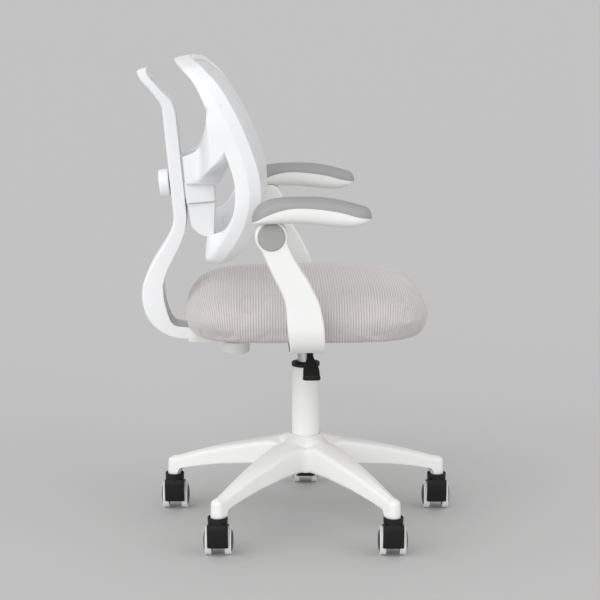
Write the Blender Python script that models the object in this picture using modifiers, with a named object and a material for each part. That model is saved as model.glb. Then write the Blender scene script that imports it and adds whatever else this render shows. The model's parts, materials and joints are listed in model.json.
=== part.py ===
"""Child's desk chair: star base on casters, gas lift, padded seat, sliding mesh back, flip-up arms.

Metres, X forward, Z up, floor at z = 0. Outlines are in millimetres from the column axis.
"""

import math

import bmesh
import bpy
import numpy as np
from mathutils import Matrix

for leftover in list(bpy.data.objects):
    bpy.data.objects.remove(leftover, do_unlink=True)

# Shared frame
GAP = 0.0003
COLUMN_X = 0.011
BASE_TURN = math.radians(-1.68)

# Column and gas lift
TUBE_RADIUS = 0.025
TUBE_WALL = 0.0025
TUBE_BOTTOM = 0.116
TUBE_TOP = 0.2948
PLATE_THICK = 0.003
ROD_RADIUS = 0.005
ROD_TOP = 0.302
ROD_BOTTOM = 0.106
COLLAR_RADIUS = 0.008
BEARING_HIGH = 0.006
CYLINDER_RADIUS = 0.0145
CYLINDER_TOP = 0.343
BUSH_TOP = 0.3015
BUSH_LIP = 0.0005
BUSH_DEPTH = 0.041
VALVE_RADIUS = 0.003
VALVE_TOP = 0.3517
VALVE_LONG = 0.0247

# Star base
ARM_COUNT = 5
CASTER_CIRCLE = 0.2574
HUB_TOP = 0.170
HUB_BOTTOM = 0.108
ARM_WALL = 0.0032
BOSS_RADIUS = 0.014
BOSS_BOTTOM = 0.0705
SOCKET_TOP = 0.097

# Casters
WHEEL_RADIUS = 0.025
WHEEL_SIDES = 24
WHEEL_INNER = 0.0115
WHEEL_RIM = 0.0225
WHEEL_DOME = 0.0262
TRAIL = 0.020
AXLE_RADIUS = 0.003
HOOD_HALF = 0.0182
HOOD_WEB = 0.0105
HOOD_INNER = 0.0262
HOOD_OUTER = 0.0287
HOOD_COLLAR = 0.0125
STEM_RADIUS = 0.0055
STEM_BOTTOM = 0.0505

# Seat
CUSHION_X = 0.002
CUSHION_LONG = 0.440
CUSHION_WIDE = 0.430
CUSHION_BOTTOM = 0.3745
CUSHION_HIGH = 0.0885
BOARD_LONG = 0.360
BOARD_WIDE = 0.350
BOARD_THICK = 0.012
BOARD_BOTTOM = 0.3738
STEEL = 0.003
TRAY_BOTTOM = 0.331
TRAY_SPAN = (-0.031, 0.025)
SOCKET_RADIUS = 0.021
LEVER_X = 0.003
LEVER_Y = -0.030
LEVER_Z = 0.356
LEVER_NECK = 0.010
LEVER_THICK = 0.008
LEVER_PIN = 0.002

# Back bar and its knobs
BAR_HALF = 0.035
BAR_FLANGE = 0.005
BAR_WEB = 0.005
BAR_LEAN = math.radians(-5.41)
BAR_DEPTH = 0.023
KNOB_X = -0.125
KNOB_RADIUS = 0.0245
KNOB_STEM = 0.006
CHANNEL_BOTTOM = 0.346
HEIGHT_KNOB_X = -0.2397
HEIGHT_KNOB_Z = 0.628
BACK_DOWN = 0.020
BACK_UP = 0.060
TONGUE_HALF = 0.028
INSERT_RADIUS = 0.008
INSERT_LONG = 0.014

# Backrest
RAIL_WIDE = 0.020
HUB_HALF = 0.045
CARRIER_HALF = 0.038
HOOP_SIZE = 0.005
MESH_THICK = 0.0012
MESH_BULGE = 0.010

# Arms
ARM_X = -0.0643
ARM_Z = 0.5684
ARM_HEAD = 0.027
ARM_CLEAR = 0.025
ARM_THICK = 0.036
ARM_INNER = CUSHION_WIDE / 2.0 + ARM_CLEAR
ARM_OUTER = ARM_INNER + ARM_THICK
CHEEK_IN = 0.0108
CHEEK_OUT = 0.0138
TONGUE_IN = ARM_INNER + CHEEK_IN
TONGUE_OUT = ARM_OUTER - CHEEK_OUT
TONGUE_RADIUS = 0.020
CAP_RADIUS = 0.023
CAP_PROUD = 0.0025
CAP_FACE = ARM_OUTER + CAP_PROUD
CAP_SUNK = 0.002
PIVOT_RADIUS = 0.004
REST_WIDE = 0.066
REST_SHIFT = 0.010
REST_CORNER = 0.026
REST_MIDDLE = (ARM_INNER + ARM_OUTER) / 2.0 + REST_SHIFT
REST_INNER = REST_MIDDLE - REST_WIDE / 2.0
REST_OUTER = REST_MIDDLE + REST_WIDE / 2.0
FOOT_END = 0.105
BOLT_RADIUS = 0.003
BOLT_X = -0.004
BOLT_Y = 0.130

chair = bpy.data.collections.new("desk_chair")
cutters = bpy.data.collections.new("cutters")
bpy.context.scene.collection.children.link(chair)
bpy.context.scene.collection.children.link(cutters)


def finish(name, colour, roughness, metallic=0.0):
    """Make one plain finish."""
    material = bpy.data.materials.new(name)
    material.use_nodes = True
    shader = material.node_tree.nodes["Principled BSDF"]
    shader.inputs["Base Color"].default_value = (*colour, 1.0)
    shader.inputs["Roughness"].default_value = roughness
    shader.inputs["Metallic"].default_value = metallic
    return material


WHITE = ("white_plastic", (0.86, 0.86, 0.85), 0.45, 0.0)
DARK = ("dark_plastic", (0.03, 0.03, 0.032), 0.5, 0.0)
GREY = ("grey_pad", (0.36, 0.36, 0.36), 0.6, 0.0)
CLOTH = ("seat_cloth", (0.52, 0.50, 0.48), 0.9, 0.0)
NET = ("back_net", (0.55, 0.55, 0.56), 0.8, 0.0)
BRIGHT = ("bright_steel", (0.62, 0.62, 0.63), 0.3, 1.0)
COATED = ("coated_steel", (0.10, 0.10, 0.105), 0.5, 0.0)
ENAMEL = ("white_enamel", (0.82, 0.82, 0.81), 0.4, 0.0)
PLY = ("plywood", (0.62, 0.45, 0.27), 0.6, 0.0)
WHEEL_WHITE = ("wheel_plastic", (0.84, 0.84, 0.83), 0.4, 0.0)


def mm(points):
    """Give points written in millimetres in metres."""
    return [tuple(value / 1000.0 for value in point) for point in points]


def pivot(name, place, parent=None, turn=(0.0, 0.0, 0.0)):
    """Add an empty that carries pieces sharing one axis."""
    empty = bpy.data.objects.new(name, None)
    empty.location = place
    empty.rotation_euler = turn
    empty.parent = parent
    empty.empty_display_size = 0.02
    chair.objects.link(empty)
    return empty


def piece(name, mesh, look, parent, place=(0.0, 0.0, 0.0), turn=(0.0, 0.0, 0.0)):
    """Add a named piece, or a hidden cutter where look is None."""
    mesh.shade_smooth()
    mesh.set_sharp_from_angle(angle=math.radians(32))
    item = bpy.data.objects.new(name, mesh)
    item.parent = parent
    item.location = place
    item.rotation_euler = turn
    if look is None:
        cutters.objects.link(item)
        item.hide_render = True
        item.display_type = "WIRE"
    else:
        mesh.materials.append(finish(name + "_" + look[0], *look[1:]))
        chair.objects.link(item)
    return item


def combine(item, tool, operation):
    """Join, cut or intersect a piece with a hidden cutter."""
    step = item.modifiers.new(tool.name, "BOOLEAN")
    step.operation = operation
    step.solver = "EXACT"
    step.object = tool


def join(item, tool):
    combine(item, tool, "UNION")


def cut(item, tool):
    combine(item, tool, "DIFFERENCE")


def keep_common(item, tool):
    combine(item, tool, "INTERSECT")


def from_bmesh(name, shape):
    """Turn a bmesh into mesh data with outward faces."""
    bmesh.ops.recalc_face_normals(shape, faces=shape.faces[:])
    mesh = bpy.data.meshes.new(name)
    shape.to_mesh(mesh)
    shape.free()
    return mesh


def box(name, low, high):
    """Make a cuboid between two corners."""
    shape = bmesh.new()
    size = [h - l for l, h in zip(low, high)]
    middle = [(h + l) / 2.0 for l, h in zip(low, high)]
    bmesh.ops.create_cube(shape, size=1.0)
    bmesh.ops.scale(shape, vec=size, verts=shape.verts[:])
    bmesh.ops.translate(shape, vec=middle, verts=shape.verts[:])
    return from_bmesh(name, shape)


def rod(name, radius, low, high, sides=24, axis="Z"):
    """Make a cylinder on an axis through the origin."""
    shape = bmesh.new()
    place = Matrix.Translation((0.0, 0.0, (low + high) / 2.0))
    bmesh.ops.create_cone(
        shape, cap_ends=True, segments=sides, radius1=radius, radius2=radius, depth=high - low, matrix=place
    )
    if axis == "X":
        bmesh.ops.rotate(shape, verts=shape.verts[:], matrix=Matrix.Rotation(math.pi / 2.0, 3, "Y"))
    if axis == "Y":
        bmesh.ops.rotate(shape, verts=shape.verts[:], matrix=Matrix.Rotation(-math.pi / 2.0, 3, "X"))
    return from_bmesh(name, shape)


def plate(name, outline, low, high, axis):
    """Extrude a flat outline along an axis: XZ along Y, YZ along X or XY along Z."""
    curve = bpy.data.curves.new(name, "CURVE")
    curve.dimensions = "2D"
    curve.fill_mode = "BOTH"
    curve.extrude = (high - low) / 2.0
    spline = curve.splines.new("POLY")
    spline.points.add(len(outline) - 1)
    for point, place in zip(spline.points, outline):
        point.co = (place[0], place[1], 0.0, 1.0)
    spline.use_cyclic_u = True
    drawn = bpy.data.objects.new(name, curve)
    cutters.objects.link(drawn)
    bpy.context.view_layer.update()
    mesh = bpy.data.meshes.new_from_object(drawn.evaluated_get(bpy.context.evaluated_depsgraph_get()))
    bpy.data.objects.remove(drawn, do_unlink=True)
    shape = bmesh.new()
    shape.from_mesh(mesh)
    bpy.data.meshes.remove(mesh)
    bmesh.ops.remove_doubles(shape, verts=shape.verts[:], dist=1e-6)
    middle = (low + high) / 2.0
    turns = {
        "X": Matrix(((0, 0, 1, middle), (1, 0, 0, 0), (0, 1, 0, 0), (0, 0, 0, 1))),
        "Y": Matrix(((1, 0, 0, 0), (0, 0, -1, middle), (0, 1, 0, 0), (0, 0, 0, 1))),
        "Z": Matrix(((1, 0, 0, 0), (0, 1, 0, 0), (0, 0, 1, middle), (0, 0, 0, 1))),
    }
    bmesh.ops.transform(shape, matrix=turns[axis], verts=shape.verts[:])
    return from_bmesh(name, shape)


def turned(name, profile, look, parent, closed=True, sides=32, place=(0.0, 0.0, 0.0), turn=(0.0, 0.0, 0.0)):
    """Spin a profile of radius and height, drawn down its outer side, about Z."""
    count = len(profile)
    edges = [(i, i + 1) for i in range(count - 1)]
    if closed:
        edges.append((count - 1, 0))
    mesh = bpy.data.meshes.new(name)
    mesh.from_pydata([(radius, 0.0, height) for radius, height in profile], edges, [])
    item = piece(name, mesh, look, parent, place, turn)
    spin = item.modifiers.new("spin", "SCREW")
    spin.axis = "Z"
    spin.angle = 2.0 * math.pi
    spin.steps = sides
    spin.render_steps = sides
    spin.use_merge_vertices = True
    spin.merge_threshold = 0.00001
    return item


def loft(name, rings, looped=False):
    """Skin a row of equal rings, capped at both ends unless the row is a loop."""
    rings = np.asarray(rings, dtype=float)
    rows, count = rings.shape[:2]
    faces = []
    for row in range(rows if looped else rows - 1):
        after = (row + 1) % rows
        for i in range(count):
            j = (i + 1) % count
            faces.append((row * count + i, row * count + j, after * count + j, after * count + i))
    if not looped:
        faces.append(tuple(range(count)))
        faces.append(tuple((rows - 1) * count + i for i in range(count)))
    mesh = bpy.data.meshes.new(name)
    mesh.from_pydata(rings.reshape(-1, 3).tolist(), [], faces)
    shape = bmesh.new()
    shape.from_mesh(mesh)
    bpy.data.meshes.remove(mesh)
    return from_bmesh(name, shape)


def settled(item):
    """Give a piece's mesh with its modifiers worked in, and remove the piece."""
    bpy.context.view_layer.update()
    mesh = bpy.data.meshes.new_from_object(item.evaluated_get(bpy.context.evaluated_depsgraph_get()))
    bpy.data.objects.remove(item, do_unlink=True)
    return mesh


def arc(centre, radius, start, end, count):
    """Give points on an arc, angles in degrees."""
    angles = np.radians(np.linspace(start, end, count))
    return [(centre[0] + radius * math.cos(a), centre[1] + radius * math.sin(a)) for a in angles]


def rounded(half_long, half_wide, corner, centre=(0.0, 0.0), count=7):
    """Give the outline of a rectangle with round corners."""
    points = []
    for sx, sy, start in ((1, 1, 0), (-1, 1, 90), (-1, -1, 180), (1, -1, 270)):
        middle = (centre[0] + sx * (half_long - corner), centre[1] + sy * (half_wide - corner))
        points += arc(middle, corner, start, start + 90, count)
    return points


def spun(points, turn):
    """Give a copy of a mesh turned about Z."""
    copy = points.copy()
    copy.transform(Matrix.Rotation(turn, 4, "Z"))
    return copy


def wheel_mesh(name):
    """Make one wheel on Z, flat inner side at the bottom, standing on a facet."""
    rim = WHEEL_RADIUS / math.cos(math.pi / WHEEL_SIDES)
    bore = AXLE_RADIUS + GAP
    profile = [(0.0, WHEEL_DOME), (0.015, WHEEL_DOME - 0.0016), (0.020, WHEEL_RIM), (rim, WHEEL_RIM)]
    profile += [(rim, WHEEL_INNER), (bore, WHEEL_INNER)]
    profile += [(bore, WHEEL_RIM + 0.0005), (0.0, WHEEL_RIM + 0.0005)]
    blank = turned(name, profile, None, None, closed=False, sides=WHEEL_SIDES)
    return spun(settled(blank), math.pi / WHEEL_SIDES)


def hood_mesh(name):
    """Make one caster hood about its stem axis, trailing along Y."""
    axle = (0.0, TRAIL, WHEEL_RADIUS)
    hood = piece(name, rod(name, HOOD_OUTER, -HOOD_HALF, HOOD_HALF, 36, "X"), None, None, axle)
    collar = rod("hood_collar", HOOD_COLLAR, 0.036, BOSS_BOTTOM - GAP)
    tools = [(join, piece("hood_collar", collar, None, None))]
    for side in (-1, 1):
        low, high = sorted((side * HOOD_WEB, side * 0.03))
        pocket = rod("hood_pocket", HOOD_INNER, low, high, 36, "X")
        tools.append((cut, piece("hood_pocket", pocket, None, None, axle)))
    below = mm([(-30, 19.5), (-30, -20), (55, -20), (55, 43)])
    tools.append((cut, piece("hood_skirt", plate("hood_skirt", below, -0.03, 0.03, "X"), None, None)))
    lug = rod("hood_lug", 0.013, -HOOD_WEB - 0.0004, HOOD_WEB + 0.0004, 20, "X")
    tools.append((join, piece("hood_lug", lug, None, None, axle)))
    bore = rod("hood_bore", AXLE_RADIUS + GAP, -0.02, 0.02, 16, "X")
    tools.append((cut, piece("hood_bore", bore, None, None, axle)))
    hole = rod("hood_hole", STEM_RADIUS + GAP, STEM_BOTTOM - GAP, 0.08)
    tools.append((cut, piece("hood_hole", hole, None, None)))
    for work, tool in tools:
        work(hood, tool)
    mesh = settled(hood)
    mesh.transform(Matrix.Translation(axle))
    for _, tool in tools:
        bpy.data.objects.remove(tool, do_unlink=True)
    return mesh


def build_casters(base):
    """Add five casters, each swivelling on its own stem."""
    hood = hood_mesh("caster_hood")
    wheel = wheel_mesh("caster_wheel")
    stem = [(0.0, 0.095), (0.0045, 0.095), (STEM_RADIUS, 0.094), (STEM_RADIUS, STEM_BOTTOM), (0.0, STEM_BOTTOM)]
    axle = (0.0, TRAIL, WHEEL_RADIUS)
    for i in range(ARM_COUNT):
        angle = math.radians(18.0 + 72.0 * i)
        place = (CASTER_CIRCLE * math.cos(angle), CASTER_CIRCLE * math.sin(angle), 0.0)
        swivel = pivot(f"swivel_axis_{i + 1}", place, base)
        piece(f"caster_hood_{i + 1}", hood.copy(), DARK, swivel)
        turned(f"caster_stem_{i + 1}", stem, BRIGHT, swivel, closed=False, sides=20)
        shaft = rod(f"caster_axle_{i + 1}", AXLE_RADIUS, -WHEEL_RIM, WHEEL_RIM, 16, "X")
        piece(f"caster_axle_{i + 1}", shaft, BRIGHT, swivel, axle)
        quarter = math.pi / 2.0
        piece(f"caster_wheel_{i + 1}_left", wheel.copy(), WHEEL_WHITE, swivel, axle, (0.0, -quarter, 0.0))
        piece(f"caster_wheel_{i + 1}_right", wheel.copy(), WHEEL_WHITE, swivel, axle, (0.0, quarter, 0.0))


def arm_section(station):
    """Give the channel section of a base arm at one distance from the column."""
    reach, half, top, bottom = station
    soft = min(0.006, 0.45 * half)
    inner = half - ARM_WALL
    roof = top - ARM_WALL
    right = [(half, bottom), (half, top - soft), (half - 0.3 * soft, top - 0.3 * soft), (half - soft, top)]
    under = [(inner - 0.5 * soft, roof), (inner, roof - 0.5 * soft), (inner, bottom)]
    over = [(-y, z) for y, z in reversed(right)]
    below = [(-y, z) for y, z in reversed(under)]
    return [(reach, y, z) for y, z in right + over + below + under]


def build_base(base):
    """Add the star, the column tube, its bush and the thrust bearing."""
    stations = mm([(27, 19, 168, 112), (46, 27, 163, 112), (100, 24.5, 150, 109), (160, 20, 135, 102)])
    stations += mm([(207, 16.5, 121, 93), (238, 13.2, 110, 85.5), (250, 11, 106, 83)])
    arm = piece("arm_blank", loft("arm_blank", [arm_section(s) for s in stations]), None, None)
    socket = STEM_RADIUS + GAP
    profile = [(0.0, 0.1052), (0.008, 0.1045), (0.012, 0.102), (BOSS_RADIUS, 0.098), (BOSS_RADIUS, BOSS_BOTTOM)]
    profile += [(socket, BOSS_BOTTOM), (socket, SOCKET_TOP), (0.0, SOCKET_TOP)]
    boss = turned("arm_boss", profile, None, None, closed=False, sides=20, place=(CASTER_CIRCLE, 0.0, 0.0))
    join(arm, boss)
    blank = settled(arm)
    bpy.data.objects.remove(boss, do_unlink=True)
    spread = bmesh.new()
    for i in range(ARM_COUNT):
        spread.from_mesh(spun(blank, math.radians(18.0 + 72.0 * i)))
    arms = piece("star_arms", from_bmesh("star_arms", spread), None, base)
    bore = TUBE_RADIUS + GAP
    hub = [(0.031, HUB_TOP), (0.034, HUB_TOP - 0.0015), (0.0355, HUB_TOP - 0.008), (0.040, 0.135), (0.0435, 0.114)]
    hub += [(0.0425, HUB_BOTTOM), (bore, HUB_BOTTOM), (bore, HUB_TOP)]
    star = turned("star_base", hub, WHITE, base, sides=30)
    join(star, arms)

    inside = TUBE_RADIUS - TUBE_WALL
    floor = TUBE_BOTTOM + PLATE_THICK
    hole = ROD_RADIUS + GAP
    tube = [(TUBE_RADIUS, TUBE_TOP), (TUBE_RADIUS, TUBE_BOTTOM), (hole, TUBE_BOTTOM), (hole, floor)]
    tube += [(inside, floor), (inside, TUBE_TOP)]
    turned("column_tube", tube, WHITE, base, sides=40)
    lip = TUBE_RADIUS + BUSH_LIP
    sleeve = inside - GAP
    guide = CYLINDER_RADIUS + GAP
    ledge = TUBE_TOP + GAP
    bush = [(lip - 0.0015, BUSH_TOP), (lip, BUSH_TOP - 0.0015), (lip, ledge), (sleeve, ledge)]
    bush += [(sleeve, ledge - BUSH_DEPTH), (guide, ledge - BUSH_DEPTH), (guide, BUSH_TOP)]
    turned("column_bush", bush, DARK, base, sides=40)
    low = floor + GAP
    race = [(inside - 0.0015, low + BEARING_HIGH), (inside - 0.0015, low), (0.006, low), (0.006, low + BEARING_HIGH)]
    turned("thrust_bearing", race, BRIGHT, base, sides=32)
    return low + BEARING_HIGH


def build_lift(spindle, seat, bearing_top):
    """Add the piston rod and its clip, the pressure cylinder and the valve pin."""
    low = bearing_top + GAP
    rod_line = [(0.0, ROD_TOP), (ROD_RADIUS - 0.001, ROD_TOP), (ROD_RADIUS, ROD_TOP - 0.001)]
    rod_line += [(ROD_RADIUS, low + 0.006), (COLLAR_RADIUS, low + 0.006), (COLLAR_RADIUS, low)]
    rod_line += [(ROD_RADIUS, low), (ROD_RADIUS, ROD_BOTTOM), (0.0, ROD_BOTTOM)]
    turned("piston_rod", rod_line, BRIGHT, spindle, closed=False, sides=24)
    top = TUBE_BOTTOM - GAP
    clip = [(0.009, top), (0.009, top - 0.005), (ROD_RADIUS + GAP, top - 0.005), (ROD_RADIUS + GAP, top)]
    turned("retaining_clip", clip, BRIGHT, spindle, sides=24)
    bore = ROD_RADIUS + 0.0005
    valve = VALVE_RADIUS + GAP
    foot = low + 0.0065
    line = [(0.0, CYLINDER_TOP - 0.026), (valve, CYLINDER_TOP - 0.026), (valve, CYLINDER_TOP)]
    line += [(CYLINDER_RADIUS - 0.0025, CYLINDER_TOP), (CYLINDER_RADIUS, CYLINDER_TOP - 0.003)]
    line += [(CYLINDER_RADIUS, foot + 0.0015), (CYLINDER_RADIUS - 0.0015, foot), (bore, foot)]
    line += [(bore, ROD_TOP + 0.004), (0.0, ROD_TOP + 0.004)]
    turned("gas_cylinder", line, BRIGHT, seat, closed=False, sides=32)
    pin = [(0.0, VALVE_TOP), (VALVE_RADIUS - 0.0008, VALVE_TOP), (VALVE_RADIUS, VALVE_TOP - 0.0008)]
    pin += [(VALVE_RADIUS, VALVE_TOP - VALVE_LONG), (0.0, VALVE_TOP - VALVE_LONG)]
    turned("valve_pin", pin, BRIGHT, seat, closed=False, sides=16)


def cushion_rings():
    """Give level rings of the cushion: drawn in below, widest low, crowned above."""
    levels = [(0.86, 0.0), (0.925, 0.004), (0.965, 0.0115), (0.99, 0.022), (1.0, 0.033), (0.99, 0.049)]
    levels += [(0.955, 0.0645), (0.89, 0.0765), (0.79, 0.0855), (0.62, 0.0935), (0.40, 0.0985), (0.16, 0.1010)]
    turn = np.linspace(0.0, 2.0 * math.pi, 49)[:-1]
    bend = 2.0 / 4.0
    long_way = np.sign(np.cos(turn)) * np.abs(np.cos(turn)) ** bend
    wide_way = np.sign(np.sin(turn)) * np.abs(np.sin(turn)) ** bend
    rings = []
    for scale, rise in levels:
        x = CUSHION_X + 0.5 * CUSHION_LONG * scale * long_way
        y = 0.5 * CUSHION_WIDE * scale * wide_way
        z = np.full_like(x, CUSHION_BOTTOM + rise * CUSHION_HIGH / 0.1015)
        rings.append(np.stack([x, y, z], axis=1))
    return rings


def build_seat(seat):
    """Add the seat plate, the board, the cushion and the channel for the back bar."""
    top = BOARD_BOTTOM - GAP
    flange = top - STEEL
    sheet = piece("seat_plate", box("seat_plate", (-0.075, -0.085, flange), (0.085, 0.085, top)), COATED, seat)
    rear, front = TRAY_SPAN
    tray = piece("tray", box("tray", (rear, -0.055, TRAY_BOTTOM), (front, 0.055, top - 0.001)), None, seat)
    low = (rear + STEEL, -0.055 + STEEL, TRAY_BOTTOM + STEEL)
    hollow = piece("tray_hollow", box("tray_hollow", low, (front - STEEL, 0.055 - STEEL, 0.4)), None, seat)
    tube = piece("tray_socket", rod("tray_socket", SOCKET_RADIUS, TRAY_BOTTOM + 0.001, 0.345, 32), None, seat)
    bore = rod("tray_bore", CYLINDER_RADIUS + GAP, TRAY_BOTTOM - 0.01, 0.36, 32)
    join(sheet, tray)
    cut(sheet, hollow)
    join(sheet, tube)
    for name, middle in (("ear_rear", LEVER_X - 0.012), ("ear_front", LEVER_X + 0.012)):
        ear_low = (middle - STEEL / 2.0, LEVER_Y - 0.008, TRAY_BOTTOM + 0.001)
        ear = box(name, ear_low, (middle + STEEL / 2.0, LEVER_Y + 0.006, LEVER_Z + 0.006))
        join(sheet, piece(name, ear, None, seat))
    cut(sheet, piece("tray_bore", bore, None, seat))
    side = LEVER_NECK / 2.0 + 0.002
    slot = box("lever_slot", (LEVER_X - side, -0.065, LEVER_Z - 0.006), (LEVER_X + side, -0.045, LEVER_Z + 0.012))
    cut(sheet, piece("lever_slot", slot, None, seat))
    hinge = (LEVER_X, LEVER_Y, LEVER_Z)
    drill = rod("ear_drill", LEVER_PIN + GAP, -0.016, 0.016, 16, "X")
    cut(sheet, piece("ear_drill", drill, None, seat, hinge))
    piece("lever_pin", rod("lever_pin", LEVER_PIN, -0.0145, 0.0145, 16, "X"), BRIGHT, seat, hinge)

    outline = rounded(BOARD_LONG / 2.0, BOARD_WIDE / 2.0, 0.060, (CUSHION_X, 0.0))
    board = plate("seat_board", outline, BOARD_BOTTOM, BOARD_BOTTOM + BOARD_THICK, "Z")
    board = piece("seat_board", board, PLY, seat)
    pocket_line = rounded(BOARD_LONG / 2.0 + GAP, BOARD_WIDE / 2.0 + GAP, 0.060 + GAP, (CUSHION_X, 0.0))
    pocket = plate("board_pocket", pocket_line, 0.36, BOARD_BOTTOM + BOARD_THICK + GAP, "Z")
    cushion = piece("seat_cushion", loft("seat_cushion", cushion_rings()), CLOTH, seat)
    cut(cushion, piece("board_pocket", pocket, None, seat))
    for side in (-1, 1):
        drill = rod("bolt_drill", BOLT_RADIUS + GAP, 0.355, 0.40, 16)
        cut(board, piece("board_drill", drill, None, seat, (BOLT_X, side * BOLT_Y, 0.0)))

    half = BAR_HALF + 0.0015
    wall = half + STEEL
    edge = 0.055
    floor = CHANNEL_BOTTOM + STEEL
    right = [(wall, CHANNEL_BOTTOM), (wall, flange), (edge, flange), (edge, top), (half, top), (half, floor)]
    hat = right + [(-y, z) for y, z in reversed(right)]
    channel = piece("back_bracket", plate("back_bracket", hat, -0.210, -0.080, "X"), ENAMEL, seat)
    slant = mm([(-220, 352), (-210, 349), (-195, 365), (-187, 373.7), (-187, 385), (-220, 385)])
    cut(channel, piece("bracket_slant", plate("bracket_slant", slant, -0.08, 0.08, "Y"), None, seat))
    nut = rod("bracket_nut", 0.010, CHANNEL_BOTTOM - 0.005, floor - 0.001)
    join(channel, piece("bracket_nut", nut, None, seat, (KNOB_X, 0.0, 0.0)))
    hole = rod("bracket_hole", KNOB_STEM + GAP, 0.33, 0.36)
    cut(channel, piece("bracket_hole", hole, None, seat, (KNOB_X, 0.0, 0.0)))


def build_lever(seat):
    """Add the lift lever on its pin; its paddle droops beside the seat."""
    hinge = pivot("lever_axis", (LEVER_X, LEVER_Y, LEVER_Z), seat)
    half = LEVER_NECK / 2.0
    line = mm([(0, 36, 0), (0, 0, 0), (0, -38, 0), (0, -49, -3), (0.2, -62, -9.5), (1.2, -85, -22.2)])
    line += mm([(2.2, -110, -36), (2.5, -130, -47), (2.5, -136, -50.3)])
    halves = [half, half, half, half, 0.0055, 0.009, 0.0125, 0.0142, 0.011]
    rings = []
    path = np.array(line)
    along = np.gradient(path, axis=0)
    along[:, 0] = 0.0
    along /= np.linalg.norm(along, axis=1, keepdims=True)
    for place, way, wide in zip(path, along, halves):
        up = np.array([0.0, way[2], -way[1]])
        thick = LEVER_THICK / 2.0
        corner = [(-1, -0.6), (-0.8, -1), (0.8, -1), (1, -0.6), (1, 0.6), (0.8, 1), (-0.8, 1), (-1, 0.6)]
        rings.append([place + np.array([a * wide, 0.0, 0.0]) + b * thick * up for a, b in corner])
    lever = piece("lift_lever", loft("lift_lever", rings), DARK, hinge)
    drill = rod("lever_drill", LEVER_PIN + GAP, -0.02, 0.02, 16, "X")
    cut(lever, piece("lever_drill", drill, None, hinge))


def build_depth_knob(seat):
    """Add the clamping knob under the channel."""
    axis = pivot("depth_knob_axis", (KNOB_X, 0.0, 0.0), seat)
    top = CHANNEL_BOTTOM + STEEL
    line = [(0.0, top), (KNOB_STEM, top), (KNOB_STEM, 0.3395), (0.020, 0.3395), (KNOB_RADIUS, 0.336)]
    line += [(KNOB_RADIUS, 0.3215), (0.021, 0.3177), (0.0, 0.3177)]
    turned("depth_knob", line, WHITE, axis, closed=False, sides=32)


def bar_lines():
    """Give the bar's rear line, its unit normals towards the hollow side, and its depth, foot to top."""
    rows = [(-95, 349.3, 22.5), (-213, 349.3, 22.5), (-227, 350.7, 22.5), (-240, 354, 22), (-252, 359.5, 25)]
    rows += [(-264, 367.5, 31), (-277, 381, 36), (-287, 400, 38.5), (-291.5, 424, 38.5), (-290, 448, 37)]
    rows += [(-283, 467, 33), (-273, 488, 30), (-260, 509, 28), (-248, 528, 26), (-239, 546, 24), (-235.2, 560, 23)]
    rows += [(-234.5, 573, 23), (-252.5, 763, 23), (-261, 777, 15.5), (-274, 793.5, 14.5), (-289, 810, 15.5)]
    rows += [(-295, 823, 17)]
    table = np.array(mm(rows))
    line = table[:, :2]
    steps = np.diff(line, axis=0)
    steps /= np.linalg.norm(steps, axis=1, keepdims=True)
    along = np.vstack([steps[:1], steps[:-1] + steps[1:], steps[-1:]])
    along /= np.linalg.norm(along, axis=1, keepdims=True)
    normal = np.stack([along[:, 1], -along[:, 0]], axis=1)
    return line, normal, table[:, 2]


def band(line, normal, near, far):
    """Give the outline of a band between two offsets from a line."""
    first = line + normal * np.reshape(near, (-1, 1))
    second = line + normal * np.reshape(far, (-1, 1))
    return [tuple(p) for p in first] + [tuple(p) for p in second[::-1]]


def bar_frame_matrix():
    """Give the frame on the bar's rear face at the height knob: Z up the bar, X forward through it."""
    return Matrix.Translation((HEIGHT_KNOB_X, 0.0, HEIGHT_KNOB_Z)) @ Matrix.Rotation(BAR_LEAN, 4, "Y")


def build_bar(slide):
    """Add the channel bar that carries the back, and the steel strip in its foot."""
    line, normal, depth = bar_lines()
    side_view = band(line, normal, 0.0 * depth, depth)
    bar = piece("back_bar", plate("back_bar", side_view, -BAR_HALF, BAR_HALF, "Y"), WHITE, slide)
    inner_line = line[:-1].copy()
    inner_line[0, 0] += 0.005
    web = np.full(len(inner_line), BAR_WEB)
    hollow = band(inner_line, normal[:-1], web, depth[:-1] + 0.004)
    inner = BAR_HALF - BAR_FLANGE
    hollow = piece("bar_hollow", plate("bar_hollow", hollow, -inner, inner, "Y"), None, slide)
    wide = KNOB_STEM + 0.0006
    reach = (BACK_UP + BACK_DOWN) / 2.0 + wide
    stadium = rounded(wide, reach, wide - 0.0002, (0.0, (BACK_UP - BACK_DOWN) / 2.0), 6)
    slot = piece("bar_slot", plate("bar_slot", stadium, -0.006, BAR_WEB + 0.006, "X"), None, slide)
    slot.location = (HEIGHT_KNOB_X, 0.0, HEIGHT_KNOB_Z)
    slot.rotation_euler = (0.0, BAR_LEAN, 0.0)
    cut(bar, slot)
    cut(bar, hollow)
    floor = CHANNEL_BOTTOM + STEEL + GAP + BAR_WEB + GAP
    strip = box("bar_spine", (-0.205, -0.022, floor), (-0.100, 0.022, floor + STEEL))
    piece("bar_spine", strip, BRIGHT, slide)


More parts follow.
